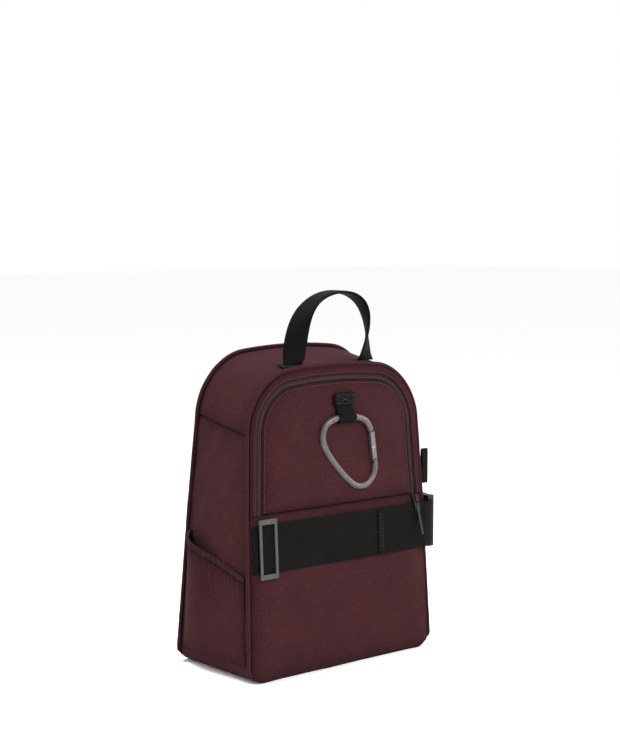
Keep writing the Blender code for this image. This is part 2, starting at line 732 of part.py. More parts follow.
def make_slider(metal, webbing):
    place, along, across, out = zip_axes()
    half = SLIDER_HALF_LENGTH
    slider = zip_block("zip_slider", ((-half, half), (-half, half), (0.9, 3.0)), metal, place)
    bail = zip_block("slider_bail", ((-3.2, 3.2), (-1, 1), (2.8, 6.2)), metal, place)
    boolean(slider, bail, "UNION")
    eye = zip_block("slider_eye", ((-2, 2), (-3, 3), (3.2, 5.2)), metal, place)
    boolean(slider, eye, "DIFFERENCE")

    pivot = place + PULL_LIFT * out
    down = (cos(PULL_ANGLE) * -along + sin(PULL_ANGLE) * out).normalized()
    thick = across.cross(down).normalized()

    def plate(name, outline, half, finish):
        corners = [pivot + MM * (d * down + c * across - half * thick) for d, c in outline]
        return slab(name, corners, 2 * half * MM * thick, finish, pivot)

    ring = plate("pull_ring", [(-0.6, -3.4), (-0.6, 3.4), (14, 3.4), (14, -3.4)], 0.6, metal)
    for low, high, half, word in ((0.6, 6, 2, "eye"), (8, 12, 2, "slot")):
        hole = plate("ring_" + word, [(low, -half), (low, half), (high, half), (high, -half)], 3, metal)
        boolean(ring, hole, "DIFFERENCE")
    tail = plate("pull_tail", [(8.6, -1.7), (8.6, 1.7), (42, 1.7), (42, -1.7)], 1.3, webbing)
    notch = plate("tail_notch", [(11.6, -3), (11.6, 3), (14.4, 3), (14.4, -3)], 0.95, webbing)
    boolean(tail, notch, "DIFFERENCE")


# ---------------------------------------------------------------- shoulder straps

def strap_hinge(side):
    return on_back(side * STRAP_HINGE_X, STRAP_TOP, STRAP_HINGE_LIFT)


def strap_line(side):
    """The strap's middle line, from the top seam over the pad to the ladder-lock."""
    return [on_back(side * x * MM, STRAP_TOP + q * MM, n * MM) for x, q, n in STRAP_KNOTS]


def make_straps(foam, webbing, plastic):
    for side, word in ((-1, "left"), (1, "right")):
        origin = strap_hinge(side)
        path = strap_line(side)
        rings = []
        for i, place in enumerate(path):
            along = (path[min(i + 1, len(path) - 1)] - path[max(i - 1, 0)]).normalized()
            across = (RIGHT - RIGHT.dot(along) * along).normalized() * STRAP_WIDTHS[i] / 2 * MM
            normal = along.cross(across).normalized() * STRAP_THICKNESS / 2
            soft = 0.8
            rings.append([place + across + normal * 0.3, place + across * soft + normal,
                          place - across * soft + normal, place - across + normal * 0.3,
                          place - across - normal * 0.3, place - across * soft - normal,
                          place + across * soft - normal, place + across - normal * 0.3])
        loft(f"shoulder_strap_{word}", rings, foam, origin=origin)
        make_strap_end(side, word, path[-1], (path[-1] - path[-2]).normalized(), webbing, plastic, origin)


def make_strap_end(side, word, foot, along, webbing, plastic, origin):
    """The ladder-lock under the strap, the webbing it grips, its tail and the anchor by the base."""
    across = (RIGHT - RIGHT.dot(along) * along).normalized()
    normal = along.cross(across).normalized()
    if normal.y < 0:
        normal = -normal

    def plate(name, spans, finish):
        (a0, a1), (c0, c1), (n0, n1) = spans
        corners = [foot + MM * (a * along + c * across + n0 * normal)
                   for a, c in ((a0, c0), (a1, c0), (a1, c1), (a0, c1))]
        return slab(name, corners, (n1 - n0) * MM * normal, finish, origin)

    lock = plate(f"ladder_lock_{word}", ((0.4, 24), (-16, 16), (-2.2, 2.2)), plastic)
    for low, high in ((3.5, 6.5), (10, 13), (17, 20)):
        boolean(lock, plate(f"lock_slot_{low}_{word}", ((low, high), (-12.6, 12.6), (-5, 5)), plastic),
                "DIFFERENCE")
    tail = [foot + MM * (a * along + n * normal) for a, n in ((9, 3.4), (24, 3.4), (32, 6), (64, 8))]
    ribbon(f"strap_tail_{word}", tail, STRAP_WEB_WIDTH, WEB, webbing, [across] * 4, origin)

    start = foot + MM * 29 * along
    low = on_back(side * 106 * MM, 34 * MM, 4 * MM)
    run = [start, start.lerp(low, 0.5) + 3 * MM * BACK_OUT, low]
    ribbon(f"strap_webbing_{word}", run, STRAP_WEB_WIDTH, WEB, webbing, [across] * 3)
    wing = [(116, 22), (116, 46), (93, 38), (93, 14)]
    slab(f"strap_anchor_{word}", [on_back(side * x * MM, q * MM, GAP) for x, q in wing],
         WEB * BACK_OUT, webbing)


def main():
    clear_scene()
    shell = material("shell_cloth", (0.072, 0.028, 0.033), 0.85)
    trim = material("trim_cloth", (0.03, 0.012, 0.014), 0.8)
    foam = material("spacer_mesh", (0.012, 0.012, 0.013), 0.95)
    board = material("board", (0.25, 0.25, 0.26), 0.6)
    lining = material("lining", (0.11, 0.10, 0.10), 0.9)
    tape = material("zip_tape", (0.03, 0.01, 0.013), 0.7)
    webbing = material("webbing", (0.010, 0.010, 0.009), 0.75)
    metal = material("dark_metal", (0.06, 0.06, 0.06), 0.4, 0.6)
    plastic = material("buckle_plastic", (0.012, 0.012, 0.012), 0.45)

    make_back(shell, foam, board)
    make_walls(shell, board)
    make_front(shell)
    make_zip(tape)
    make_piping(shell)
    make_sleeve(lining)
    make_pockets(shell, trim)
    make_handle(webbing)
    make_band(webbing, metal)
    make_buckle(plastic, webbing)
    make_tab(webbing)
    make_carabiner(metal, metal)
    make_slider(metal, webbing)
    make_side_loop(webbing)
    make_straps(foam, webbing, plastic)


main()
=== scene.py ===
from math import acos, atan2, ceil, copysign, cos, exp, pi, radians, sin, sqrt

import bmesh
import bpy
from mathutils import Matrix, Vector, noise


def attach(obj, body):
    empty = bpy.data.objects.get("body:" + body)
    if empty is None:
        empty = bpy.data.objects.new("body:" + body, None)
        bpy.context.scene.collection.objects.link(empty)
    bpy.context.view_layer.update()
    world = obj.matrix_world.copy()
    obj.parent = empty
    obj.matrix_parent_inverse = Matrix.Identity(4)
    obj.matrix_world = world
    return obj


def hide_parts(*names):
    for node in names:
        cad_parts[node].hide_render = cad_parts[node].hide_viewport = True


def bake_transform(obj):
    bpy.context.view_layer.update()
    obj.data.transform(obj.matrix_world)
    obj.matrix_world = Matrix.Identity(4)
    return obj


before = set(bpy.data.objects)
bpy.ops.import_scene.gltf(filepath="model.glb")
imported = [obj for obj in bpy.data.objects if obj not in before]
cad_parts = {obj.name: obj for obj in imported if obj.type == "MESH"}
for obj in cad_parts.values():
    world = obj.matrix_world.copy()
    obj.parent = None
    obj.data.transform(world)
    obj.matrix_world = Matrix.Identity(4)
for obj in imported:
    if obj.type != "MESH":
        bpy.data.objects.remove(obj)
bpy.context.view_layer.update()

MM = 0.001

# The shell's dimensions, as in the CAD
HEIGHT, FRONT_HEIGHT = 335 * MM, 318 * MM
HALF_WIDTH_BASE, HALF_WIDTH_FOLD, HALF_WIDTH_TOP = 129 * MM, 124.5 * MM, 120 * MM
FRONT_LEAN, BACK_LEAN = 18 * MM / HEIGHT, 32 * MM / HEIGHT
TOP_RADIUS, BASE_RADIUS, CROWN = 56 * MM, 16 * MM, 12 * MM
TOP_FLAT = HALF_WIDTH_TOP - TOP_RADIUS
FRONT_Y, BACK_Y, FOLD_Z = -67 * MM, 67 * MM, 178 * MM
CLOTH = 2.4 * MM
ZIP_MIDDLE = 12.4 * MM

UP = Vector((0, FRONT_LEAN, 1)).normalized()
OUT = Vector((0, -1, FRONT_LEAN)).normalized()
BACK_UP = Vector((0, -BACK_LEAN, 1)).normalized()
BACK_OUT = Vector((0, 1, BACK_LEAN)).normalized()
RIGHT = Vector((1, 0, 0))
UPRIGHT = Vector((0, 0, 1))

BAND_Z = 142 * MM
BAND_Q = BAND_Z / UP.z
BAND_LIFT = 2.8 * MM

# Reach of the painted seam shade that darkens the cloth beside a seam, and how much of a face's dip its
# lining follows
SEAM_SHADE = 7 * MM
LINING_DIP = 0.4


# ---------------- the shell's skin

def front_face_y(z):
    return FRONT_Y + FRONT_LEAN * z


def back_face_y(z):
    return BACK_Y - BACK_LEAN * z


def half_width_at(z):
    if z < FOLD_Z:
        share = (z - BASE_RADIUS) / (FOLD_Z - BASE_RADIUS)
        return HALF_WIDTH_BASE + (HALF_WIDTH_FOLD - HALF_WIDTH_BASE) * share
    share = (z - FOLD_Z) / (FRONT_HEIGHT - TOP_RADIUS - FOLD_Z)
    return HALF_WIDTH_FOLD + (HALF_WIDTH_TOP - HALF_WIDTH_FOLD) * share


def crown(x):
    """Height of the top's curve over its corners."""
    return CROWN * (1 - (x / HALF_WIDTH_TOP) ** 2)


def outline_point(k, top_z):
    """(x, z) of the outline seen from the front. k: 0 base left, 3 to 4 left corner, 5 top, 10 base right."""
    j = 10 - k if k > 5 else k
    corner_z = top_z - TOP_RADIUS
    if j <= 1:
        angle = j * pi / 2
        x = HALF_WIDTH_BASE - BASE_RADIUS + BASE_RADIUS * sin(angle)
        z = BASE_RADIUS * (1 - cos(angle))
    elif j <= 2:
        x = HALF_WIDTH_BASE + (HALF_WIDTH_FOLD - HALF_WIDTH_BASE) * (j - 1)
        z = BASE_RADIUS + (FOLD_Z - BASE_RADIUS) * (j - 1)
    elif j <= 3:
        x = HALF_WIDTH_FOLD + (HALF_WIDTH_TOP - HALF_WIDTH_FOLD) * (j - 2)
        z = FOLD_Z + (corner_z - FOLD_Z) * (j - 2)
    else:
        angle = min(j - 3, 1) * pi / 2
        x = TOP_FLAT * (5 - j) if j > 4 else TOP_FLAT + TOP_RADIUS * cos(angle)
        z = corner_z + TOP_RADIUS * sin(angle) + crown(x)
    return Vector((x if k > 5 else -x, z))


def inset_point(k, top_z, inset):
    step = 0.01
    along = (outline_point(min(k + step, 10), top_z) - outline_point(max(k - step, 0), top_z)).normalized()
    return outline_point(k, top_z) + inset * Vector((along.y, -along.x))


def rib(k, inset):
    """The ends of the line from the front edge to the back edge at k."""
    x, z = inset_point(k, FRONT_HEIGHT, inset)
    front = Vector((x, front_face_y(z), z))
    x, z = inset_point(k, HEIGHT, inset)
    return front, Vector((x, back_face_y(z), z))


def from_front(k, depth, inset):
    front, back = rib(k, inset)
    return front.lerp(back, depth / (back.y - front.y))


def from_back(k, depth, inset):
    front, back = rib(k, inset)
    return back.lerp(front, depth / (back.y - front.y))


def on_front(x, q, n=0.0):
    """A place on the front: across, up along its slope and out of it."""
    return Vector((x, FRONT_Y, 0)) + q * UP + n * OUT


def on_back(x, q, n=0.0):
    return Vector((x, BACK_Y, 0)) + q * BACK_UP + n * BACK_OUT


def front_place(x, z, n):
    """The same by height instead of along the slope."""
    return Vector((x, front_face_y(z), z)) + n * OUT


def back_place(x, z, n):
    return Vector((x, back_face_y(z), z)) + n * BACK_OUT


def over_top(x, depth, lift):
    """A place on the top gusset, across from the middle and back from the front edge."""
    if abs(x) <= TOP_FLAT:
        k = 4 + (TOP_FLAT - abs(x)) / TOP_FLAT
    else:
        k = 3 + acos((abs(x) - TOP_FLAT) / TOP_RADIUS) / (pi / 2)
    return from_front(k if x < 0 else 10 - k, depth, -lift)


def smoothstep(low, high, value):
    t = min(max((value - low) / (high - low), 0), 1)
    return t * t * (3 - 2 * t)


def distances(path):
    """Running distance at each point of a path."""
    marks = [0.0]
    for a, b in zip(path, path[1:]):
        marks.append(marks[-1] + (b - a).length)
    return marks


def between(values, t):
    """The value at t, from 0 to 1 along a list."""
    spans = len(values) - 1
    i = min(int(t * spans), spans - 1)
    return values[i] + (values[i + 1] - values[i]) * (t * spans - i)


def even(k0, k1, count):
    """Values of k from k0 to k1 at even distances along the outline."""
    spans = 400
    fine = [k0 + (k1 - k0) * i / spans for i in range(spans + 1)]
    marks = distances([outline_point(k, FRONT_HEIGHT) for k in fine])
    found, j = [], 0
    for i in range(count + 1):
        want = marks[-1] * i / count
        while j < spans - 1 and marks[j + 1] < want:
            j += 1
        share = (want - marks[j]) / max(marks[j + 1] - marks[j], 1e-9)
        found.append(fine[j] + (fine[j + 1] - fine[j]) * min(share, 1))
    return found


def curve_through(points, steps):
    """Points on a Catmull-Rom curve through the given ones."""
    found = []
    for i in range(len(points) - 1):
        a, b = points[max(i - 1, 0)], points[i]
        c, d = points[i + 1], points[min(i + 2, len(points) - 1)]
        for s in range(steps):
            t = s / steps
            found.append(0.5 * (2 * b + (c - a) * t + (2 * a - 5 * b + 4 * c - d) * t**2
                                + (3 * b - a - 3 * c + d) * t**3))
    return found + [points[-1]]


# ---------------- materials

class Nodes:
    """Short names for building a material's node tree."""

    def __init__(self, name):
        self.material = bpy.data.materials.new(name)
        self.material.use_nodes = True
        self.tree = self.material.node_tree
        self.place = self.add("ShaderNodeTexCoord").outputs["Object"]

    def feed(self, node, inputs):
        """Links or sets a node's inputs, which are given by name or number."""
        for key, value in inputs.items():
            if isinstance(value, bpy.types.NodeSocket):
                self.tree.links.new(value, node.inputs[key])
            elif value is not None:
                node.inputs[key].default_value = value

    def add(self, kind, inputs=None, **settings):
        node = self.tree.nodes.new(kind)
        for key, value in settings.items():
            setattr(node, key, value)
        self.feed(node, inputs or {})
        return node

    def math(self, operation, a, b=None, clamp=False):
        return self.add("ShaderNodeMath", {0: a, 1: b}, operation=operation, use_clamp=clamp).outputs[0]

    def line(self, value, slope, start):
        return self.math("ADD", self.math("MULTIPLY", value, slope), start)

    def wave(self, value, length):
        return self.math("SINE", self.math("MULTIPLY", value, 2 * pi / length))

    def ridges(self, value, pitch):
        return self.math("ABSOLUTE", self.wave(value, 2 * pitch))

    def mix(self, factor, a, b, blend="MIX"):
        a, b = ((*color, 1) if isinstance(color, tuple) else color for color in (a, b))
        node = self.add("ShaderNodeMix", {0: factor, 6: a, 7: b}, data_type="RGBA", blend_type=blend)
        return node.outputs[2]

    def tinted(self, base, amount, factor, dark, light):
        """The base multiplied by a shade between dark and light, which are colours or greys."""
        dark, light = (shade if isinstance(shade, tuple) else (shade,) * 3 for shade in (dark, light))
        return self.mix(amount, base, self.mix(factor, dark, light), "MULTIPLY")

    def scaled(self, factors):
        return self.add("ShaderNodeMapping", {"Scale": factors, "Vector": self.place}).outputs["Vector"]

    def noise(self, scale, detail=2, roughness=0.5):
        """Noise over the piece. scale is a number, or one for each axis."""
        vector, scale = (self.scaled(scale), 1.0) if isinstance(scale, tuple) else (self.place, scale)
        return self.add("ShaderNodeTexNoise", {"Vector": vector, "Scale": scale, "Detail": detail,
                                               "Roughness": roughness}).outputs["Fac"]

    def ramp(self, value, low, high):
        inputs = {"Value": value, "From Min": low, "From Max": high}
        return self.add("ShaderNodeMapRange", inputs).outputs["Result"]

    def weave(self):
        """Distances across and along the cloth."""
        layer = self.add("ShaderNodeUVMap", uv_map="weave").outputs["UV"]
        parts = self.add("ShaderNodeSeparateXYZ", {0: layer})
        return parts.outputs[0], parts.outputs[1]

    def bump(self, height, strength, distance, under=None):
        inputs = {"Height": height, "Strength": strength, "Distance": distance, "Normal": under}
        return self.add("ShaderNodeBump", inputs).outputs["Normal"]

    def finish(self, color, roughness, normal=None, **constants):
        inputs = {key.replace("_", " "): value for key, value in constants.items()}
        inputs.update({"Base Color": color, "Roughness": roughness, "Normal": normal})
        self.feed(self.tree.nodes["Principled BSDF"], inputs)
        return self.material


def woven(name, yarn, weft, pitch=0.62 * MM, sheen=0.012, soft=0.8):
    """Plain-woven cloth: warp and weft over and under with painted shade between the threads, flecked yarn,
    patches of wear and painted shade darkening the cloth beside its seams.
    """
    n = Nodes(name)
    x, y = n.weave()
    over = n.ramp(n.math("MULTIPLY", n.wave(x, pitch), n.wave(y, pitch)), -0.35, 0.35)
    height = n.mix(over, n.ridges(x, pitch), n.ridges(y, pitch))
    flecks = n.ramp(n.noise((900, 900, 260), 3, 0.6), 0.38, 0.66)
    slubs = n.ramp(n.noise((260, 260, 1100), 3, 0.6), 0.38, 0.66)
    cloud = n.ramp(n.noise(16, 4, 0.55), 0.3, 0.7)
    heather = n.ramp(n.noise((620, 620, 340), 2, 0.7), 0.3, 0.7)
    base = n.mix(over, n.mix(flecks, yarn, weft), n.mix(slubs, weft, yarn))
    base = n.mix(0.2, n.mix(0.5, yarn, weft), base)
    # Painted shade in the hollows between the threads, a little lighter on the threads' crowns
    base = n.tinted(base, 0.7, n.ramp(height, 0.0, 0.9), (0.62, 0.60, 0.60), 1.08)
    base = n.tinted(base, 0.85, cloud, (0.82, 0.82, 0.84), (1.16, 1.12, 1.12))
    base = n.tinted(base, 0.8, heather, (0.70, 0.72, 0.74), (1.30, 1.22, 1.22))
    # Painted seam shade: the cloth is multiplied darker where the seam layer is high, next to the sewn edges
    seam = n.add("ShaderNodeAttribute", attribute_name="seam").outputs["Fac"]
    base = n.mix(n.math("MULTIPLY", seam, 0.6), base, (0.35, 0.33, 0.34), "MULTIPLY")
    creased = n.bump(n.noise(42, 4, 0.6), 0.30, 1.2 * MM)
    threads = n.bump(height, 0.55, 0.16 * MM, creased)
    fuzz = n.bump(n.noise(2600), 0.20, 0.08 * MM, threads)
    return n.finish(base, n.line(cloud, 0.12, soft), fuzz, Sheen_Weight=sheen, Sheen_Roughness=0.45,
                    Specular_IOR_Level=0.05)


def ribbed(name, dark, light, rib=1.5 * MM, pick=0.9 * MM, soft=0.72):
    """Webbing: ribs along its length with small picks across them, with painted shade in the grooves and a
    painted highlight on the ribs' crowns.
    """
    n = Nodes(name)
    u, v = n.weave()
    shift = n.math("MULTIPLY", n.math("FLOOR", n.math("DIVIDE", u, rib)), pick / 2)
    picks = n.ridges(n.math("ADD", v, shift), pick)
    height = n.math("MULTIPLY", n.math("POWER", n.ridges(u, rib), 0.5), n.line(picks, 0.5, 0.5))
    cloud = n.noise(30, 4, 0.6)
    fibres = n.noise((2200, 2200, 700))
    # Painted shade and highlight: dark in the grooves between the ribs, lighter on their crowns
    base = n.mix(n.ramp(height, 0.15, 1.0), dark, light)
    base = n.tinted(base, 0.8, n.ramp(cloud, 0.3, 0.7), 0.75, 1.2)
    base = n.tinted(base, 0.35, fibres, 0.6, 1.5)
    normal = n.bump(fibres, 0.2, 0.08 * MM, n.bump(height, 0.8, 0.3 * MM))
    return n.finish(base, n.line(cloud, 0.16, soft - 0.08), normal, Specular_IOR_Level=0.04)


def spacer_mesh(name):
    """Padded air mesh: rows of small holes in a soft knitted face, with painted shade in the holes."""
    n = Nodes(name)
    cells = n.add("ShaderNodeTexVoronoi", {"Vector": n.scaled((360, 360, 300))}, feature="DISTANCE_TO_EDGE")
    n.feed(cells, {"Scale": 1.0, "Randomness": 0.12})
    wall = n.ramp(cells.outputs["Distance"], 0.05, 0.34)
    knit = n.noise(1500)
    # Painted shade: the knit is darkened inside the holes
    base = n.mix(wall, (0.030, 0.030, 0.032), (0.008, 0.008, 0.009))
    base = n.tinted(base, 0.6, n.noise(24, 3), 0.7, 1.3)
    dips = n.math("SUBTRACT", 1.0, wall)
    normal = n.bump(knit, 0.25, 0.12 * MM, n.bump(dips, 0.7, 0.5 * MM))
    return n.finish(base, n.line(knit, 0.1, 0.82), normal, Sheen_Weight=0.05, Sheen_Roughness=0.5,
                    Specular_IOR_Level=0.12)


def zip_tape(name):
    """Zip tape: a fine herringbone rib, darker than the cloth."""
    n = Nodes(name)
    u, v = n.weave()
    zigzag = n.math("MULTIPLY", n.ridges(u, 2.2 * MM), 4)
    lines = n.math("SINE", n.math("ADD", n.math("MULTIPLY", v, 2 * pi / (0.55 * MM)), zigzag))
    cloud = n.noise(60, 3)
    # Painted shade in the rib's grooves and a lighter painted highlight on its ridges, following the bump's
    # lines
    base = n.mix(n.ramp(lines, -1, 1), (0.022, 0.010, 0.012), (0.048, 0.020, 0.023))
    base = n.tinted(base, 0.6, cloud, 0.7, 1.3)
    return n.finish(base, n.line(cloud, 0.15, 0.62), n.bump(lines, 0.5, 0.12 * MM), Specular_IOR_Level=0.3)


def painted_metal(name, color, edge, rough=0.40, metal=0.55):
    """Painted or blackened cast metal, with fine grain, smudges and rubbed high spots."""
    n = Nodes(name)
    smudge = n.noise(70, 5, 0.65)
    scratch = n.noise((120, 1600, 420), 3, 0.7)
    worn = n.math("MULTIPLY", n.ramp(smudge, 0.52, 0.72), n.ramp(scratch, 0.5, 0.66), clamp=True)
    base = n.tinted(n.mix(worn, color, edge), 0.5, smudge, 0.8, 1.2)
    normal = n.bump(scratch, 0.05, 0.1 * MM, n.bump(n.noise(1900, 3), 0.12, 0.1 * MM))
    return n.finish(base, n.line(smudge, 0.22, rough - 0.08), normal, Metallic=metal, Specular_IOR_Level=0.5)


def moulded(name, color, rough=0.42):
    """Moulded plastic: a spark-eroded grain, slight colour drift and rubbed spots."""
    n = Nodes(name)
    grain, smudge = n.noise(1300, 3), n.noise(55, 4, 0.6)
    light = tuple(c * 1.7 + 0.003 for c in color)
    base = n.mix(n.ramp(smudge, 0.35, 0.75), color, light)
    base = n.mix(n.ramp(grain, 0.45, 0.8), base, light)
    return n.finish(base, n.line(smudge, 0.2, rough - 0.06), n.bump(grain, 0.22, 0.14 * MM),
                    Specular_IOR_Level=0.3)


def fibreboard(name):
    """Pressed stiffener board with short fibres."""
    n = Nodes(name)
    fibres, spots = n.noise((420, 420, 90), 5, 0.7), n.noise(240, 3)
    base = n.mix(n.ramp(fibres, 0.3, 0.7), (0.20, 0.195, 0.19), (0.33, 0.325, 0.31))
    base = n.mix(n.ramp(spots, 0.6, 0.8), base, (0.12, 0.12, 0.12))
    return n.finish(base, n.line(spots, 0.2, 0.55), n.bump(fibres, 0.3, 0.2 * MM))


def thread(name, dark, light):
    """Twisted sewing thread."""
    n = Nodes(name)
    twist = n.noise((1800, 1800, 1800))
    return n.finish(n.mix(twist, dark, light), n.line(twist, 0.15, 0.5), n.bump(twist, 0.3, 0.1 * MM),
                    Specular_IOR_Level=0.35)


def plain_paper(name, white):
    """The studio floor: nearly even, with the faintest mottling."""
    n = Nodes(name)
    cloud = n.noise(3, 3)
    base = n.mix(cloud, (white * 0.985,) * 3, (white,) * 3)
    return n.finish(base, n.line(cloud, 0.05, 0.78), Specular_IOR_Level=0.15)


SHELL = woven("shell_cloth", (0.056, 0.0135, 0.0165), (0.025, 0.0110, 0.0125))
TRIM = woven("trim_cloth", (0.040, 0.013, 0.016), (0.024, 0.010, 0.012), pitch=0.8 * MM)
PIPING = woven("piping_cloth", (0.050, 0.014, 0.017), (0.028, 0.011, 0.013), pitch=0.8 * MM)
LINING = woven("lining", (0.115, 0.105, 0.105), (0.085, 0.080, 0.082), pitch=0.5 * MM, sheen=0.05, soft=0.7)
WEBBING = ribbed("webbing", (0.0025, 0.0025, 0.0022), (0.0075, 0.0070, 0.0064))
HANDLE_WEB = ribbed("handle_webbing", (0.002, 0.002, 0.002), (0.0065, 0.0065, 0.0062), soft=0.62)
TRIM_WEB = ribbed("trim_binding", (0.016, 0.007, 0.009), (0.038, 0.016, 0.019), rib=1.2 * MM, pick=0.8 * MM)
MESH = spacer_mesh("spacer_mesh")
TAPE = zip_tape("zip_tape")
COIL = moulded("zip_coil", (0.030, 0.012, 0.014), 0.38)
METAL = painted_metal("dark_metal", (0.105, 0.088, 0.086), (0.34, 0.32, 0.31))
GATE_METAL = painted_metal("gate_metal", (0.17, 0.15, 0.15), (0.42, 0.40, 0.40), rough=0.32, metal=0.7)
BLACK_METAL = painted_metal("black_metal", (0.016, 0.015, 0.015), (0.12, 0.12, 0.12))
FRAME_METAL = painted_metal("frame_metal", (0.052, 0.050, 0.051), (0.20, 0.20, 0.20), rough=0.44, metal=0.35)
PLASTIC = moulded("buckle_plastic", (0.006, 0.006, 0.006))
BOARD = fibreboard("board")
THREAD = thread("maroon_thread", (0.040, 0.014, 0.017), (0.085, 0.035, 0.040))
BLACK_THREAD = thread("black_thread", (0.010, 0.010, 0.010), (0.030, 0.030, 0.030))


# ---------------- mesh building

def piece(name, bm, material, body, node=None, lining=None):
    mesh = bpy.data.meshes.new(name)
    bm.to_mesh(mesh)
    bm.free()
    obj = bpy.data.objects.new(name, mesh)
    bpy.context.scene.collection.objects.link(obj)
    mesh.materials.append(material)
    if lining:
        mesh.materials.append(lining)
    mesh.shade_smooth()
    mesh.set_sharp_from_angle(angle=radians(50))
    if body:
        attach(obj, body)
    if node:
        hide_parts(node)
    return obj


def outward(bm):
    bmesh.ops.recalc_face_normals(bm, faces=bm.faces)
    return bm


def loft(bm, rings, spot=None, closed=False):
    """Faces between rings of vertices, capped unless the rings close on themselves.

    spot(i, j) gives the UV of ring i's corner j; j runs one past the last corner."""
    uv = bm.loops.layers.uv.new("weave") if spot else None
    rings = [[bm.verts.new(place) for place in ring] for ring in rings]
    size = len(rings[0])
    for i in range(len(rings) if closed else len(rings) - 1):
        a, b = rings[i], rings[(i + 1) % len(rings)]
        for j in range(size):
            k = (j + 1) % size
            face = bm.faces.new((a[j], a[k], b[k], b[j]))
            if spot:
                for loop, corner in zip(face.loops, ((i, j), (i, j + 1), (i + 1, j + 1), (i + 1, j))):
                    loop[uv].uv = spot(*corner)
    if not closed:
        bm.faces.new(rings[0][::-1])
        bm.faces.new(rings[-1])
    return bm


def sheet_mesh(cells):
    """A closed cloth panel. cells holds rows of (outer point, inner point, UV in metres, painted seam shade).
    """
    bm = bmesh.new()
    uv = bm.loops.layers.uv.new("weave")
    # The seam layer holds the painted seam shade that darkens the cloth near its sewn edges
    tint = bm.verts.layers.float_color.new("seam")
    rows, cols = len(cells), len(cells[0])

    def layer(side):
        made = []
        for row in cells:
            made.append([bm.verts.new(cell[side]) for cell in row])
            for vert, cell in zip(made[-1], row):
                vert[tint] = (cell[3],) * 3 + (1,)
        return made

    def quad(corners, spots, index):
        face = bm.faces.new(corners)
        face.material_index = index
        for loop, (r, c) in zip(face.loops, spots):
            loop[uv].uv = cells[r][c][2]

    top, low = layer(0), layer(1)
    for r in range(rows - 1):
        for c in range(cols - 1):
            spots = [(r, c), (r, c + 1), (r + 1, c + 1), (r + 1, c)]
            quad([top[i][j] for i, j in spots], spots, 0)
            quad([low[i][j] for i, j in reversed(spots)], spots[::-1], 1)
    rim = [(0, c) for c in range(cols)] + [(r, cols - 1) for r in range(1, rows)]
    rim += [(rows - 1, c) for c in range(cols - 2, -1, -1)] + [(r, 0) for r in range(rows - 2, 0, -1)]
    for a, b in zip(rim, rim[1:] + rim[:1]):
        (r0, c0), (r1, c1) = a, b
        quad([top[r1][c1], top[r0][c0], low[r0][c0], low[r1][c1]], [b, a, a, b], 0)
    return outward(bm)


def puckers(u, v, size_u, size_v):
    """Small gathers that run in from the sewn edges and fade."""
    total = 0
    for near, along in ((u * size_u, v * size_v), ((1 - u) * size_u, v * size_v),
                        (v * size_v, u * size_u), ((1 - v) * size_v, u * size_u)):
        drift = 2.2 * noise.noise(Vector((along * 55, near * 10, 3.1)))
        gather = sin(2 * pi * along / (7 * MM) + drift)
        total += gather * exp(-near / (9 * MM)) * smoothstep(0, 1.5 * MM, near)
    return 0.45 * MM * total


def folds(p, amount, scale=14, turn=0.6, stretch=0.35):
    """Slack in the cloth: long soft folds, steeper one way than the other."""
    a = p.x * cos(turn) + p.z * sin(turn) + p.y
    b = -p.x * sin(turn) + p.z * cos(turn)
    large = noise.noise(Vector((a * scale, b * scale * stretch, 0.7)))
    small = noise.noise(Vector((a * scale * 2.7, b * scale, 5.3)))
    return amount * (large + 0.35 * small)


def pillow(near, reach=26 * MM):
    """How full a panel is at a distance from its seam: steep at first, then level."""
    return sin(min(near / reach, 1) * pi / 2) ** 0.9


def flat_relief(u, v, p):
    return 0


def panel(name, point, size_u, size_v, relief, node, material=SHELL, lining=LINING,
          step=2.6 * MM, thickness=CLOTH, sewn=True):
    """A sewn panel. point(u, v, n) is a place n out of its skin; relief(u, v, p) lifts the face there."""
    cols, rows = max(6, ceil(size_u / step)), max(6, ceil(size_v / step))

    def cell(u, v):
        near = min(u * size_u, (1 - u) * size_u, v * size_v, (1 - v) * size_v)
        lift = relief(u, v, point(u, v, 0))
        if sewn:
            lift -= 1.5 * MM * (1 - smoothstep(0, 2.5 * MM, near)) ** 1.5
            lift += puckers(u, v, size_u, size_v)
        inner = point(u, v, min(lift, 0) * LINING_DIP - thickness)
        return point(u, v, lift), inner, (u * size_u, v * size_v), exp(-near / SEAM_SHADE)

    cells = [[cell(c / cols, r / rows) for c in range(cols + 1)] for r in range(rows + 1)]
    return piece(name, sheet_mesh(cells), material, "bag", node, lining)


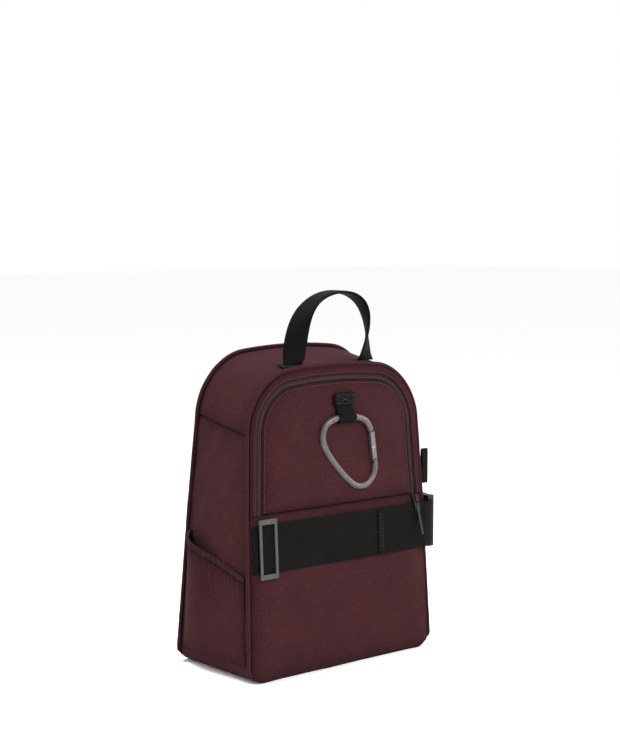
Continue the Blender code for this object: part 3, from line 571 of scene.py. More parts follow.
def face_grid(top_z, inset, low_z, step=2.6 * MM, foot_radius=BASE_RADIUS, high_z=None):
    """A grid over the bag's outline, each column from the outline's foot to its top.

    Gives rows of (x, z, distance to the nearest edge)."""
    radius = TOP_RADIUS - inset
    foot = max(foot_radius - inset, 0.5 * MM)
    corner_z = top_z - TOP_RADIUS

    def half_width(z):
        return half_width_at(min(max(z, BASE_RADIUS), corner_z)) - inset

    def high(s):
        x = abs(s) * (HALF_WIDTH_TOP - inset)
        rise = radius if x < TOP_FLAT else sqrt(max(radius ** 2 - (x - TOP_FLAT) ** 2, 0))
        top = corner_z + rise + crown(x)
        return min(top, high_z) if high_z else top

    def low(s):
        if not foot_radius:
            return low_z
        x = abs(s) * (HALF_WIDTH_BASE - inset)
        over = x - (HALF_WIDTH_BASE - inset - foot)
        return low_z + foot - (sqrt(max(foot ** 2 - over ** 2, 0)) if over > 0 else foot)

    def spot(s, share):
        z = low(s) + (high(s) - low(s)) * share
        x = s * half_width(z)
        near = min(half_width(z) - abs(x), high(s) - z, z - low(s))
        if z > corner_z and abs(x) > TOP_FLAT and not high_z:
            reach = sqrt((abs(x) - TOP_FLAT) ** 2 + (z - corner_z - crown(x)) ** 2)
            near = min(near, radius - reach)
        return x, z, max(near, 0)

    cols, rows = ceil(2 * HALF_WIDTH_BASE / step), ceil((high(0) - low(0)) / step)
    across = [sin(pi * (c / cols - 0.5)) * 0.45 + (2 * c / cols - 1) * 0.55 for c in range(cols + 1)]
    return [[spot(s, r / rows) for s in across] for r in range(rows + 1)]


def face_panel(name, grid, place, relief, node, body="bag"):
    """A sewn panel over a face_grid. place(x, z, n) is a point n out of the face; relief lifts it."""
    def cell(x, z, near):
        drift = 3 * noise.noise(Vector((x * 30, z * 30, 2.0)))
        wave = sin(atan2(z - 0.17, x) * 74 + drift)
        lift = relief(x, z, near) - 1.5 * MM * (1 - smoothstep(0, 2.6 * MM, near))
        lift += 0.65 * MM * wave * exp(-near / (8 * MM)) * smoothstep(0, 1.5 * MM, near)
        inner = place(x, z, min(lift, 0) * LINING_DIP - CLOTH)
        return place(x, z, lift), inner, (x, z), exp(-near / SEAM_SHADE)

    cells = [[cell(*spot) for spot in row] for row in grid]
    return piece(name, sheet_mesh(cells), SHELL, body, node, LINING)


def tube_mesh(path, radius, sides=14, closed=False):
    """A round rod along points. radius is a function of the distance along."""
    count = len(path)
    side = (path[1] - path[0]).orthogonal().normalized()
    rings, marks = [], distances(path + path[:1])
    for i, place in enumerate(path):
        ahead = path[(i + 1) % count] if closed else path[min(i + 1, count - 1)]
        behind = path[i - 1] if closed or i else path[0]
        along = (ahead - behind).normalized()
        side = (side - side.dot(along) * along).normalized()
        other = along.cross(side)
        turns = [2 * pi * j / sides for j in range(sides)]
        size = radius(marks[i])
        rings.append([place + size * (cos(t) * side + sin(t) * other) for t in turns])
    return outward(loft(bmesh.new(), rings, lambda i, j: (marks[i], j / sides * 2 * pi * radius(0)), closed))


def webbing(name, body, path, side, width, thickness, node=None, material=WEBBING, slot="webbing", across=12):
    """Flat woven webbing, width and thickness in mm. side is its width direction, or a list of them."""
    sides = side if isinstance(side, list) else [side] * len(path)
    half = width * MM / 2
    section = []
    for i in range(across + 1):
        x = -1 + 2 * i / across
        section.append((x, 0.5 * sqrt(max(1 - abs(x) ** 14, 0)) + 0.04))
    section += [(x, -y) for x, y in reversed(section)]
    rings, marks = [], distances(path)
    for i, place in enumerate(path):
        along = (path[min(i + 1, len(path) - 1)] - path[max(i - 1, 0)]).normalized()
        wide = (sides[i] - sides[i].dot(along) * along).normalized()
        high = along.cross(wide).normalized() * thickness * MM
        rings.append([place + wide * x * half + high * y for x, y in section])
    bm = loft(bmesh.new(), rings, lambda i, j: (section[j % len(section)][0] * half, marks[i]))
    return piece(name, outward(bm), material, body, node)


def add_stitch(bm, place, along, normal, length=2.9 * MM, height=0.45 * MM):
    """One thread stitch lying on the cloth, thick in the middle and sunk at its ends."""
    side = along.cross(normal).normalized() * 0.375 * MM
    rings = []
    for t, size in ((-0.5, 0.15), (-0.32, 0.8), (0, 1), (0.32, 0.8), (0.5, 0.15)):
        middle = place + along * length * t - normal * height * 0.55 * (1 - size)
        rings.append([middle + side * size * cos(a) + normal * height * size * sin(a)
                      for a in (0, pi / 3, 2 * pi / 3, pi, 3 * pi / 2)])
    loft(bm, rings)


def stitch_row(bm, path, normal, pitch=4.0 * MM, **size):
    """Stitches along a path at even distances."""
    left = pitch / 2
    for a, b in zip(path, path[1:]):
        length = (b - a).length
        while left < length:
            add_stitch(bm, a.lerp(b, left / length), (b - a).normalized(), normal, **size)
            left += pitch
        left -= length


def box_x(name, body, corner, side_u, side_v, normal, **size):
    """A box of stitches with a cross in it."""
    bm = bmesh.new()
    c = [corner, corner + side_u, corner + side_u + side_v, corner + side_v]
    for a, b in ((0, 1), (1, 2), (2, 3), (3, 0), (0, 2), (1, 3)):
        stitch_row(bm, [c[a], c[b]], normal, 3.2 * MM, **size)
    piece(name, bm, BLACK_THREAD, body)


def settle(obj):
    """Applies an object's modifiers."""
    mesh = bpy.data.meshes.new_from_object(obj.evaluated_get(bpy.context.evaluated_depsgraph_get()))
    old = obj.data
    obj.modifiers.clear()
    obj.data = mesh
    bpy.data.meshes.remove(old)


def modify(obj, kind, **settings):
    modifier = obj.modifiers.new(kind.title(), kind)
    for key, value in settings.items():
        setattr(modifier, key, value)
    return modifier


def soften(obj, width, segments):
    modify(obj, "BEVEL", width=width, segments=segments, limit_method="ANGLE", angle_limit=radians(32))


# ---------------- shell panels

def side_relief(u, v, p):
    """The gusset: puffed between its seams, with two soft creases across it."""
    risen = smoothstep(6 * MM, 60 * MM, p.z)
    puff = 4.2 * MM * sin(pi * v) ** 0.8 * (0.65 + 0.35 * sin(pi * u))
    crease = 0
    for centre, width, depth in ((0.30, 0.03, 1.1 * MM), (0.62, 0.025, 0.8 * MM)):
        bend = centre + 0.16 * (v - 0.5)
        crease += depth * exp(-((u - bend) / width) ** 2) * sin(pi * v)
    return (puff - crease + folds(p, 3.2 * MM * sin(pi * v) ** 0.5, 20)) * risen


def top_relief(u, v, p):
    sag = 1.2 * MM * sin(pi * u) * sin(pi * v)
    return 2.6 * MM * sin(pi * v) ** 0.7 - sag + folds(p, 1.6 * MM * sin(pi * v), 20, 0.2, 0.8)


def back_relief(x, z, near):
    pad = smoothstep(14 * MM, 24 * MM, near)
    return 2.2 * MM * pillow(near, 12 * MM) * (1 - 0.8 * pad) + folds(Vector((x, 0, z)), 0.5 * MM, 22)


def low_relief(x, z, near):
    """The lower front: held flat under the band and full below it."""
    free = smoothstep(0, 12 * MM, abs(z - BAND_Z) - 27 * MM)
    slack = folds(Vector((x, 0, z)), 3.0 * MM, 15, 0.4)
    return (1.1 + 3.4 * free) * MM * pillow(near) + (0.15 + 0.85 * free) * slack


def flap_relief(x, z, near):
    """The flap: full, and held down round the carabiner's tab."""
    slack = folds(Vector((x, 0, z)), 3.0 * MM, 15, 0.75, 0.5)
    free = smoothstep(6 * MM, 30 * MM, (Vector((x, z)) - Vector((TAB_X, 294 * MM))).length)
    puff = 4.2 * MM * pillow(near, 34 * MM) * (0.55 + 0.45 * free)
    return puff + slack * free * smoothstep(0, 20 * MM, near)


def gusset(name, k0, k1, relief, node):
    """A strip of the shell's wall between the front and the back seam."""
    ks = even(k0, k1, 60)
    depth = (from_front(ks[30], 0, 0) - from_back(ks[30], 0, 0)).length

    def point(u, v, n):
        front, back = rib(between(ks, u), -n)
        return front.lerp(back, v)

    panel(name, point, distances([from_front(k, 0, 0) for k in ks])[-1], depth, relief, node)


def make_shell():
    gusset("side_cover_left", 0.05, 2.997, side_relief, "side_panel_left")
    gusset("side_cover_right", 9.95, 7.003, side_relief, "side_panel_right")
    gusset("top_cover", 3.003, 6.997, top_relief, "top_panel")

    half = HALF_WIDTH_BASE - BASE_RADIUS
    front, back = FRONT_Y + CLOTH, BACK_Y - CLOTH

    def under(u, v, n):
        return Vector((half * (1 - 2 * u), front + (back - front) * v, 0.15 * MM - min(n, 0)))

    panel("base_cover", under, 2 * half, back - front, flat_relief, "base_panel", TRIM,
          step=4 * MM, sewn=False)
    face_panel("back_cover", face_grid(HEIGHT, 0, 0.2 * MM), back_place, back_relief, "back_panel")
    grid = face_grid(FRONT_HEIGHT, 0, 0.2 * MM, high_z=FOLD_Z - 0.35 * MM)
    face_panel("front_cover_lower", grid, front_place, low_relief, "front_panel_lower")

    ks = even(2.004, 7.996, 230)
    width = 9.2 * MM

    def rim(u, v, n):
        return from_front(between(ks, u), 0, 0.2 * MM + width * v) + n * OUT

    def rim_relief(u, v, p):
        return 1.5 * MM * sin(pi * min(v * 1.05, 1)) ** 0.7 + 0.3 * MM * noise.noise(p * 160)

    length = distances([from_front(k, 0, 5 * MM) for k in ks])[-1]
    panel("rim_cover", rim, length, width, rim_relief, "front_rim", step=1.4 * MM, sewn=False)

    grid = face_grid(FRONT_HEIGHT, 15.3 * MM, FOLD_Z + 0.35 * MM, foot_radius=0)
    face_panel("flap_cover", grid, front_place, flap_relief, "front_flap", "flap")


def make_piping():
    def out(k):
        """The cord stands outside the seam, and tucks under it at its ends by the base."""
        return (-2.6 + 3.4 * (1 - smoothstep(0.6, 0.95, min(k, 10 - k)))) * MM

    for name, place in (("front", from_front), ("back", from_back)):
        path = [place(k, 2 * MM, out(k)) for k in even(0.6, 9.4, 330)]
        path = [p + 0.25 * MM * Vector((noise.noise(p * 70), noise.noise(p * 70 + RIGHT), 0)) for p in path]
        total = distances(path)[-1]
        bm = tube_mesh(path, lambda s: (0.5 + 1.5 * smoothstep(0, 12 * MM, min(s, total - s))) * MM, 12)
        # The cord's seam allowance, sewn in between two panels
        allowance = ((1.3, -1), (1.5, 7), (2.6, 7), (2.7, -1))
        loft(bm, [[place(k, depth * MM, inset * MM) for depth, inset in allowance]
                  for k in even(0.6, 9.4, 160)])
        piece(f"piping_{name}_cord", outward(bm), PIPING, "bag", f"piping_{name}")


def make_stitches():
    """Top stitching beside the zip, on the shell and on the flap."""
    for body, inset, first, lift in (("bag", 6.6, 2.004, 1.25), ("flap", 18.6, 2.03, 1.1)):
        bm = bmesh.new()
        path = [from_front(k, 0, inset * MM) + lift * MM * OUT for k in even(first, 10 - first, 220)]
        stitch_row(bm, path, OUT, 3.6 * MM, length=2.8 * MM)
        piece(f"top_stitch_{body}", bm, THREAD, body)


# ---------------- zip

def make_zip_half(name, body, node, way):
    """Tape, sewn cord edge and the coil's teeth on one side of the opening."""
    ks = even(2.012, 7.988, 280)
    near = ZIP_MIDDLE + way * 0.25 * MM
    # Depth and distance from the zip's middle, and the distance round the section, in mm
    section = [(1.35, 0.0), (1.2, 2.2), (3.3, 2.9), (3.3, 8.4), (4.2, 8.4), (4.2, 0.0)]
    around = [0.0, 2.2, 4.4, 9.9, 10.8, 19.2]
    rings = [[from_front(k, depth * MM, near + way * s * MM) for depth, s in section] for k in ks]
    marks = distances([ring[0] for ring in rings])
    bm = loft(bmesh.new(), rings, lambda i, j: (around[j % len(around)] * MM, marks[i]))
    piece(name + "_tape", outward(bm), TAPE, body, node)

    bm = bmesh.new()
    pitch = 1.7 * MM
    want = pitch * (0.25 if way > 0 else 0.75)
    path = [from_front(k, 0, near) for k in ks]
    inside = [from_front(k, 0, near + way * 2.1 * MM) for k in ks]
    for i, run in enumerate(distances(path)[:-1]):
        a, b = path[i], path[i + 1]
        length = (b - a).length
        while want < run + length:
            t = (want - run) / length
            side = (inside[i].lerp(inside[i + 1], t) - a.lerp(b, t)).normalized()
            add_tooth(bm, a.lerp(b, t) + side * 0.75 * MM - 0.55 * MM * OUT, (b - a).normalized(), side)
            want += pitch
    piece(name + "_teeth", bm, COIL, body)


def add_tooth(bm, middle, along, side):
    """One turn of the coil: a short rounded bar across the zip, fatter at its meshing end."""
    profile = ((-1.05, 0.35, 0.35), (-0.75, 0.62, 0.75), (0.2, 0.48, 0.8), (1.1, 0.48, 0.6), (1.45, 0.3, 0.2))
    turns = [pi * i / 3 for i in range(6)]
    loft(bm, [[middle + MM * (side * across + along * half * cos(t) + OUT * high * sin(t)) for t in turns]
              for across, half, high in profile])


# ---------------- side pockets

POCKET_GATHERS = 15


def pocket_point(side, v, w, lift):
    """A place on a pocket: v from its front seam to its back seam, w from its foot to its slanted hem."""
    foot = BASE_RADIUS + 2 * MM
    z = foot + ((112 + 40 * v) * MM - foot) * w
    front, back = front_face_y(z) + 9 * MM, back_face_y(z) - 9 * MM
    bulge = 14 * MM * sin(pi * v**2.5) * w**0.5
    return Vector((side * (half_width_at(z) + 4.6 * MM + bulge + lift), front + (back - front) * v, z))


def make_pockets():
    for side, word in ((-1, "left"), (1, "right")):
        def across(u, side=side):
            return u if side > 0 else 1 - u

        def point(u, v, n, side=side):
            return pocket_point(side, across(u), v * 0.95, n)

        def relief(u, v, p, side=side):
            a = across(u)
            gathers = sin(2 * pi * a * POCKET_GATHERS + 2 * noise.noise(Vector((a * 9, v * 4, side))))
            depth = 0.7 * MM * smoothstep(0.72, 1.0, v) * sin(pi * a) ** 0.5
            press = -3.2 * MM * (1 - sin(pi * a) ** 0.35) - 1.6 * MM * (1 - smoothstep(0, 0.1, v))
            return gathers * depth + press + folds(p, 1.5 * MM * sin(pi * a) * sin(pi * v), 30)

        size = (point(0.5, 1, 0) - point(0.5, 0, 0)).length
        cloth = panel(f"pocket_cloth_{word}", point, 0.125, size, relief, f"side_pocket_{word}", lining=SHELL,
                      step=2 * MM, thickness=1.2 * MM)
        path = []
        for i in range(101):
            v = i / 100
            ripple = 0.45 * sin(2 * pi * v * POCKET_GATHERS) * sin(pi * v) ** 0.5
            press = 3.0 * (1 - sin(pi * v) ** 0.35)
            path.append(pocket_point(side, v, 0.96, (0.2 - press + ripple) * MM) + 2.0 * MM * UPRIGHT)
        band = webbing(f"pocket_elastic_{word}", "bag", path, UPRIGHT, 6.4, 2.6, f"pocket_hem_{word}",
                       TRIM_WEB, "trim_cloth")


# ---------------- handle and band

HANDLE_HALF, HANDLE_RISE, HANDLE_WIDTH = 52 * MM, 78 * MM, 25


def make_handle():
    foot = over_top(HANDLE_HALF, 8 * MM, 4.6 * MM)
    path, sides = [], []
    steps = 90
    for i in range(steps + 1):
        angle = pi * (1 - i / steps)
        share = sin(angle) ** 0.75 if 0 < i < steps else 0
        height = HANDLE_RISE * share
        x = HANDLE_HALF * cos(angle) * (1 + 0.2 * sin(angle) ** 2)
        path.append(Vector((x, foot.y - 0.15 * height, foot.z + height)))
        rise = share ** 0.6
        twist = pi / 2 * (rise if angle > pi / 2 else 2 - rise)
        sides.append(Vector((cos(twist), -sin(twist), 0)))
    webbing("handle_webbing", "handle", path, sides, HANDLE_WIDTH, 3.0, "top_handle", HANDLE_WEB)

    for side, word in ((-1, "left"), (1, "right")):
        x = side * HANDLE_HALF
        path = [over_top(x, depth * MM, 1.9 * MM) for depth in (5, 7, 10, 14, 18, 21)]
        webbing(f"handle_foot_{word}", "bag", path, RIGHT, HANDLE_WIDTH, 1.5, f"handle_patch_{word}",
                HANDLE_WEB)
        corner, other = (over_top(x + dx * MM, 11.5 * MM, 2.35 * MM) for dx in (-10, 10))
        back = over_top(x - 10 * MM, 19.5 * MM, 2.35 * MM) - corner
        box_x(f"handle_foot_stitch_{word}", "bag", corner, other - corner, back,
              (other - corner).cross(back).normalized())


def along_front(spots):
    """Points on the band's line from (across, out) in mm."""
    return [on_front(x * MM, BAND_Q, n * MM) for x, n in spots]


def band_path():
    points = [on_front(x * MM, BAND_Q, BAND_LIFT) for x in (-116, -95, -70, -35, 5, 45, 80, 104)]
    corner = Vector((half_width_at(BAND_Z), front_face_y(BAND_Z), BAND_Z))
    around = ((-8, -2.9), (3, -3.4), (11, -1.8), (17.5, 2.0), (20.4, 6.4))
    return curve_through(points + [corner + Vector((x, y, 0)) * MM for x, y in around], 6)


def make_band():
    edge = half_width_at(BAND_Z)
    path, sides = band_path(), []
    for i, p in enumerate(path):
        upright = smoothstep(edge - 2 * MM, edge + 8 * MM, p.x)
        sides.append(UP.lerp(UPRIGHT, upright).normalized())
        slack = smoothstep(-28 * MM, 0, p.x) * (1 - smoothstep(25 * MM, 50 * MM, p.x))
        path[i] = p + OUT * slack * (0.8 * MM + 0.5 * MM * noise.noise(p * 28))
    webbing("band_webbing", "band", path, sides, 52, 1.7, "front_band", across=26)

    path = along_front(((53, 4.0), (56, 4.2), (64, 4.2), (74, 4.2), (86, 4.2), (96, 4.0)))
    webbing("band_return", "band", path, UP, 51, 1.2, across=26)
    bm = bmesh.new()
    for x in (56.5 * MM, 60 * MM):
        stitch_row(bm, [on_front(x, BAND_Q + q * MM, 4.8 * MM) for q in (-23, 23)], OUT)
    piece("band_return_stitch", bm, BLACK_THREAD, "band")
    path = along_front(((-123.0, 0.4), (-122.0, 1.2), (-120.6, 1.8), (-119.2, 2.0), (-117.8, 2.2)))
    webbing("band_root_left", "bag", path, UP, 51, 1.4, "band_anchor_left", across=26)

    mouth = Vector((edge + 21 * MM, front_face_y(BAND_Z) + 22 * MM, BAND_Z))
    away = ((0.0, 40.6), (0.3, 45), (0.5, 50), (0.5, 60), (-2.0, 69), (-8.0, 77), (-15.5, 83))
    path = curve_through([mouth + Vector((out, along, 0)) * MM for out, along in away], 5)
    webbing("band_root_right", "bag", path, UPRIGHT, 52, 1.7, "band_anchor_right", across=26)


def make_side_tab():
    z = 208 * MM
    seam = Vector((half_width_at(188 * MM) + 4.9 * MM, front_face_y(z) + 2 * MM, z))
    plan = [(0, -1.2), (3, -1.4), (6, -1.5), (8.2, -1.1), (9.1, 0), (8.2, 1.1), (6, 1.5), (3, 1.4), (0, 1.2)]
    path = curve_through([seam + Vector((x, y, 0)) * MM for x, y in plan], 3)
    webbing("side_tab_loop", "bag", path, UPRIGHT, 40, 0.9, "side_loop", across=20)


# ---------------- carabiner on its tab

TAB_X, TAB_Q = 8 * MM, 274 * MM
BAR_LIFT, TAB_BEND = 7.0, 5.4
HINGE, TIP = Vector((41.0, -50.0)), Vector((37.3, -19.0))
ROD_RADIUS = 3.6 * MM


def tab_path(spots):
    """Points on the tab's line from (up, out) in mm, measured at the carabiner's upper bar."""
    return [on_front(TAB_X, TAB_Q + q * MM, n * MM) for q, n in spots]


def hang(x, y, n=0.0):
    """A place in the hanging carabiner's plane, in mm from the middle of its upper bar."""
    return tab_path([(0, BAR_LIFT)])[0] + MM * (x * RIGHT + y * UP + (n + y * 0.03) * OUT)


def make_tab():
    turns = [radians(-75 - 26 * i) for i in range(9)]
    spots = [(26, 3.6), (16, 3.2), (8, 1.9)]
    spots += [(TAB_BEND * cos(angle), BAR_LIFT + TAB_BEND * sin(angle)) for angle in turns]
    spots += [(8, 6.8), (12, 5.2), (18, 5.2), (26.5, 5.2)]
    webbing("tab_webbing", "flap", curve_through(tab_path(spots), 4), RIGHT, 24, 1.3, "carabiner_tab")
    path = tab_path([(13.5, 6.3), (17, 6.5), (21, 6.5), (25, 6.4), (28, 5.6)])
    webbing("tab_cover", "flap", path, RIGHT, 28, 1.4, "tab_patch")
    corner = on_front(TAB_X - 11.5 * MM, TAB_Q + 15.5 * MM, 7.3 * MM)
    box_x("tab_stitch", "flap", corner, 23 * MM * RIGHT, 9.5 * MM * UP, OUT, length=2.2 * MM)


def make_carabiner():
    """The bent rod, rounded at its ends, with a slot cut for the gate."""
    knots = [(36.5, -17.5), (30, -6.5), (16, -0.6), (0, 0), (-16, -0.6), (-29, -6.5), (-34, -19), (-29, -34),
             (-16, -51), (1, -68), (14, -76.5), (27, -77), (37, -70), (41.5, -60), (41, -50)]
    path = curve_through([hang(x, y) for x, y in knots], 8)
    total = distances(path)[-1]

    def radius(s):
        ends = min(s, total - s) / (2 * MM)
        return ROD_RADIUS * (1 if ends > 1 else 0.86 + 0.14 * sqrt(1 - (1 - ends) ** 2))

    body = piece("carabiner_frame", tube_mesh(path, radius, 20), METAL, None)
    along = (TIP - HINGE).normalized()
    across = Vector((along.y, -along.x))
    corners = ((-4.4, -12), (-4.4, 12), (12, 12), (12, -12))
    spots = [HINGE + along * first + across * half for first, half in corners]
    rings = [[hang(spot.x, spot.y, n) for spot in spots] for n in (-2.45, 2.45)]
    cutter = piece("slot_cutter", outward(loft(bmesh.new(), rings)), METAL, None)
    modify(body, "BOOLEAN", operation="DIFFERENCE", solver="EXACT", object=cutter)
    settle(body)
    bpy.data.objects.remove(cutter)
    soften(body, 0.35 * MM, 2)
    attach(body, "carabiner")
    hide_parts("carabiner_body")


# ---------------- straps and pad

def inflate(obj, cap, voxel):
    """Swells a closed soft piece a little by cloth simulation, no point by more than cap."""
    modify(obj, "REMESH", mode="VOXEL", voxel_size=voxel)
    settle(obj)
    modify(obj, "SMOOTH", factor=0.5, iterations=9)
    settle(obj)
    start = [v.co.copy() for v in obj.data.vertices]
    settings = modify(obj, "CLOTH").settings
    settings.use_pressure = True
    settings.uniform_pressure_force = 3
    settings.quality = 5
    settings.mass = 0.2
    settings.tension_stiffness = 12
    settings.compression_stiffness = 12
    settings.bending_stiffness = 0.6
    settings.effector_weights.gravity = 0
    scene = bpy.context.scene
    for frame_number in range(1, 21):
        scene.frame_set(frame_number)
    settle(obj)
    scene.frame_set(1)
    for vertex, old in zip(obj.data.vertices, start):
        move = vertex.co - old
        if move.length > cap:
            vertex.co = old + move * (cap / move.length)
    modify(obj, "SUBSURF", levels=1, render_levels=1)
    settle(obj)
    obj.data.shade_smooth()


def make_pad():
    """The back pad: a crowned cushion with three sewn channels."""
    grid = face_grid(293 * MM, 19 * MM, 30 * MM, step=3 * MM, foot_radius=43 * MM)

    def cell(x, z, near):
        crowned = 7.68 * MM * min(near / (9 * MM), 1) ** 0.45 if near > 0 else 0
        return back_place(x, z, 1.6 * MM + crowned), back_place(x, z, 1.0 * MM), (x, z), 0.0

    cells = [[cell(*spot) for spot in row] for row in grid]
    obj = piece("back_cushion", sheet_mesh(cells), MESH, None, None, MESH)
    inflate(obj, 2.5 * MM, 3.4 * MM)
    channels = (-46 * MM, 0.0, 46 * MM)
    for vertex in obj.data.vertices:
        p = vertex.co
        n = (p - Vector((p.x, back_face_y(p.z), p.z))).dot(BACK_OUT)
        if n < 3 * MM:
            continue
        reach = smoothstep(36 * MM, 60 * MM, p.z) * (1 - smoothstep(262 * MM, 282 * MM, p.z))
        dip = 4.6 * MM * reach * sum(exp(-((p.x - x) / (3.2 * MM)) ** 2) for x in channels)
        vertex.co = p - BACK_OUT * min(dip, n - 2.5 * MM)
    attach(obj, "bag")
    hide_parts("back_pad")

    bm = bmesh.new()
    for x in channels:
        path = [back_place(x, (50 + 6 * i) * MM, 5.6 * MM) for i in range(36)]
        stitch_row(bm, path, BACK_OUT, 4.2 * MM, height=0.7 * MM)
    piece("pad_stitch", bm, BLACK_THREAD, "bag")


STRAP_Q = 306
STRAP_WIDTHS = [34, 46, 50, 50, 49, 46, 42, 36]
# The strap's middle line in mm: across, up from its hinge and out of the back
STRAP_KNOTS = [(38, 0, 6.5), (40, -5, 19), (44, -23, 31), (50, -50, 38), (56, -80, 41),
               (61, -110, 40), (66, -138, 36), (70, -164, 30)]
STRAP_WEBBING = (24, 1.5)


def strap_sections(path):
    """Place, width direction, normal, half width and thickness at each point of a strap."""
    found, last = [], len(path) - 1
    for i, place in enumerate(path):
        along = (path[min(i + 1, last)] - path[max(i - 1, 0)]).normalized()
        across = (RIGHT - RIGHT.dot(along) * along).normalized()
        normal = along.cross(across).normalized()
        if normal.dot(BACK_OUT) < 0 and i > 4:
            normal, across = -normal, -across
        half = between(STRAP_WIDTHS, i / last) / 2 * MM
        found.append((place, across, normal, half, 4.6 * MM * (0.55 + 0.45 * min(i / 4, (last - i) / 4, 1))))
    return found


def make_strap_pad(word, body, sections):
    """A strap's swelled pad, the binding round its edge and the ribbon down its middle."""
    turns = [2 * pi * m / 20 for m in range(20)]
    oval = [(copysign(abs(cos(a)) ** 0.65, cos(a)), copysign(abs(sin(a)) ** 0.8, sin(a))) for a in turns]
    rings = [[place + across * x * (half - 1.2 * MM) + normal * y * thick * 0.9 for x, y in oval]
             for place, across, normal, half, thick in sections]
    obj = piece(f"strap_pad_{word}", outward(loft(bmesh.new(), rings)), MESH, None)
    inflate(obj, 1.4 * MM, 3.6 * MM)
    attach(obj, body)
    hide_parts(f"shoulder_strap_{word}")

    edges = [[place + way * across * (half - 0.6 * MM) for place, across, _, half, _ in sections]
             for way in (-1, 1)]
    binding = tube_mesh(edges[0] + edges[1][::-1], lambda s: 1.9 * MM, 10, closed=True)
    piece(f"strap_binding_{word}", binding, TRIM_WEB, body)
    middle = sections[6:-6]
    ribbon = [place + normal * (thick * 0.9 + 0.9 * MM) for place, _, normal, _, thick in middle]
    webbing(f"strap_ribbon_{word}", body, ribbon, [section[1] for section in middle], 20, 1.3)


def make_straps():
    for side, word in ((-1, "left"), (1, "right")):
        body = f"strap_{word}"
        knots = [on_back(side * x * MM, (STRAP_Q + q) * MM, n * MM) for x, q, n in STRAP_KNOTS]
        make_strap_pad(word, body, strap_sections(curve_through(knots, 8)))

        foot = knots[-1]
        along = (foot - knots[-2]).normalized()
        across = (RIGHT - RIGHT.dot(along) * along).normalized()
        normal = along.cross(across).normalized()
        if normal.y < 0:
            normal = -normal
        places = ((9, 3.4), (16, 3.3), (24, 3.4), (32, 6), (48, 8.2), (64, 8))
        tail = curve_through([foot + MM * (a * along + n * normal) for a, n in places], 5)
        webbing(f"strap_end_{word}", body, tail, across, *STRAP_WEBBING, f"strap_tail_{word}")

        start = foot + MM * 29 * along
        low = on_back(side * 106 * MM, 34 * MM, 4 * MM)
        run = curve_through([foot + MM * 19 * along, start, start.lerp(low, 0.5) + 3 * MM * BACK_OUT, low,
                             on_back(side * 110 * MM, 28 * MM, 2.4 * MM)], 8)
        lower = webbing(f"strap_lower_{word}", None, run, across, *STRAP_WEBBING)
        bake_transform(lower)
        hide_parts(f"strap_webbing_{word}")

        corners = ((117, 20), (117, 47), (92, 39), (92, 13))
        wing = [on_back(side * x * MM, q * MM, 1.4 * MM) for x, q in corners]

        def anchor(u, v, n, wing=wing):
            return wing[0].lerp(wing[1], u).lerp(wing[3].lerp(wing[2], u), v) + n * BACK_OUT

        panel(f"strap_wing_{word}", anchor, 27 * MM, 25 * MM, flat_relief, f"strap_anchor_{word}", TRIM,
              TRIM, step=1.6 * MM, thickness=1.3 * MM)


# ---------------- inside and hardware

def make_sleeve():
    """The document sleeve: a shallow pocket of lining against the back, open at the top."""
    half, back, cloth = 92 * MM, -5.2 * MM, 1.1 * MM
    front = back - 16 * MM
    low_q, high_q, rows = 8 * MM, 205 * MM, 50
    # Its section from one side round the front to the other: across and out of the back
    plan = [(-half, back), (-half, front + 3 * MM), (-half + 0.9 * MM, front + 0.9 * MM)]
    plan += [(-half + 3 * MM + (2 * half - 6 * MM) * i / 40, front) for i in range(41)]
    plan += [(half - 0.9 * MM, front + 0.9 * MM), (half, front + 3 * MM), (half, back)]
    marks = distances([Vector(spot) for spot in plan])

    def cell(i, q):
        x, n = plan[i]
        if 4 < i < len(plan) - 5:
            n += abs(0.9 * MM * noise.noise(Vector((x * 25, q * 16, 4.0))))
        at_side = abs(x) > half - 1 * MM
        inner = on_back(x - copysign(cloth, x), q, n) if at_side else on_back(x, q, n + cloth)
        # The last value is the painted seam shade, strongest at the sleeve's top and bottom hems
        return on_back(x, q, n), inner, (marks[i], q), exp(-min(high_q - q, q - low_q) / (6 * MM))

    heights = [low_q + (high_q - low_q) * r / rows for r in range(rows + 1)]
    cells = [[cell(i, q) for i in range(len(plan))] for q in heights]
    piece("sleeve_lining", sheet_mesh(cells), LINING, "bag", "document_sleeve", LINING)


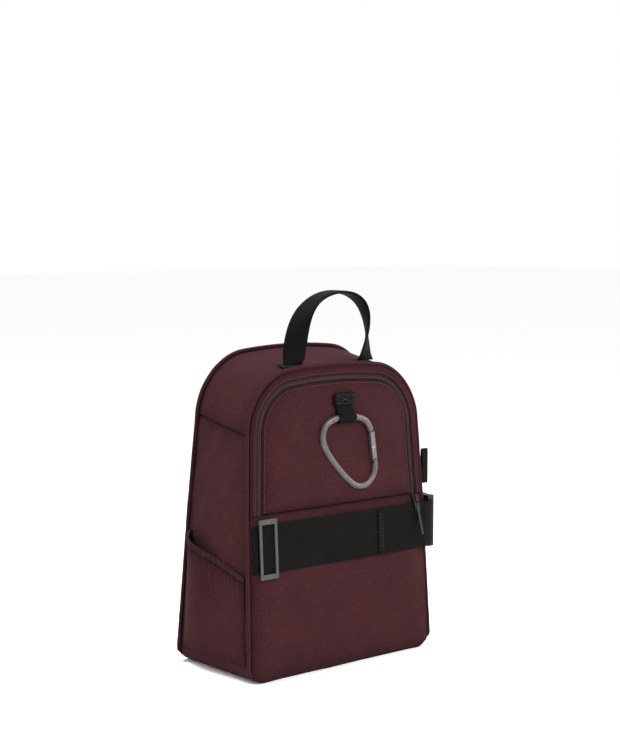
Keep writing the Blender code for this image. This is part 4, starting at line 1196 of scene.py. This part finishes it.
def make_hardware():
    """The CAD pieces whose shape is right: better materials and rounded edges."""
    looks = [(name, PLASTIC, 0.5, 2) for name in ("ladder_lock_left", "ladder_lock_right", "buckle_socket",
                                                  "buckle_base", "buckle_prong_lower", "buckle_prong_upper")]
    looks += [("band_slider", FRAME_METAL, 0.5, 2), ("carabiner_gate", GATE_METAL, 0.5, 3),
              ("gate_pin", BLACK_METAL, 0.15, 2), ("zip_slider", BLACK_METAL, 0.4, 2),
              ("pull_ring", BLACK_METAL, 0.3, 2), ("pull_tail", PLASTIC, 0.4, 2),
              ("base_board", BOARD, 0.2, 1), ("frame_sheet", BOARD, 0.2, 1)]
    for name, material, width, segments in looks:
        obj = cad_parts[name]
        obj.data.materials.clear()
        obj.data.materials.append(material)
        soften(obj, width * MM, segments)
        for polygon in obj.data.polygons:
            polygon.use_smooth = True
        modify(obj, "WEIGHTED_NORMAL", keep_sharp=True)


# ---------------- studio

def place_object(name, data, place, backwards):
    """Links a lamp or a camera that looks away from the direction backwards."""
    obj = bpy.data.objects.new(name, data)
    bpy.context.scene.collection.objects.link(obj)
    obj.location = place
    obj.rotation_euler = backwards.to_track_quat("Z", "Y").to_euler()
    return obj


def lamp(name, place, size, power):
    data = bpy.data.lights.new(name, "AREA")
    data.shape = "DISK"
    data.size = size
    data.energy = power
    place = Vector(place)
    place_object(name, data, place, place - Vector((0, 0, 0.18)))


def make_studio():
    scene = bpy.context.scene
    bm = bmesh.new()
    bmesh.ops.create_grid(bm, x_segments=8, y_segments=8, size=12.0)
    ground = piece("studio_floor", bm, plain_paper("floor_paper", 0.97), None)
    ground.location.z = -0.2 * MM

    world = bpy.data.worlds.new("studio")
    world.use_nodes = True
    background = world.node_tree.nodes["Background"]
    background.inputs["Color"].default_value = (1.0, 1.0, 1.0, 1)
    background.inputs["Strength"].default_value = 1.0
    scene.world = world
    scene.view_settings.view_transform = "Standard"

    lamp("key", (0.55, -1.5, 1.5), 0.9, 24)
    lamp("side", (1.3, -0.6, 0.7), 0.6, 8)
    lamp("rim", (-0.5, 0.6, 1.7), 0.6, 26)

    azimuth, elevation, distance = radians(-40), radians(5.4), 1.82
    right = Vector((cos(azimuth), sin(azimuth), 0))
    back = Vector((sin(azimuth) * cos(elevation), -cos(azimuth) * cos(elevation), sin(elevation)))
    target = right * 0.005 + Vector((0, 0, 0.317))
    camera = bpy.data.cameras.new("camera")
    camera.lens = 78
    camera.sensor_width = 36
    scene.camera = place_object("camera", camera, target + back * distance, back)


make_studio()
make_shell()
make_piping()
make_zip_half("zip_shell", "bag", "zip_half_shell", -1)
make_zip_half("zip_flap", "flap", "zip_half_flap", 1)
make_stitches()
make_pockets()
make_handle()
make_band()
make_side_tab()
make_tab()
make_carabiner()
make_pad()
make_straps()
make_sleeve()
make_hardware()
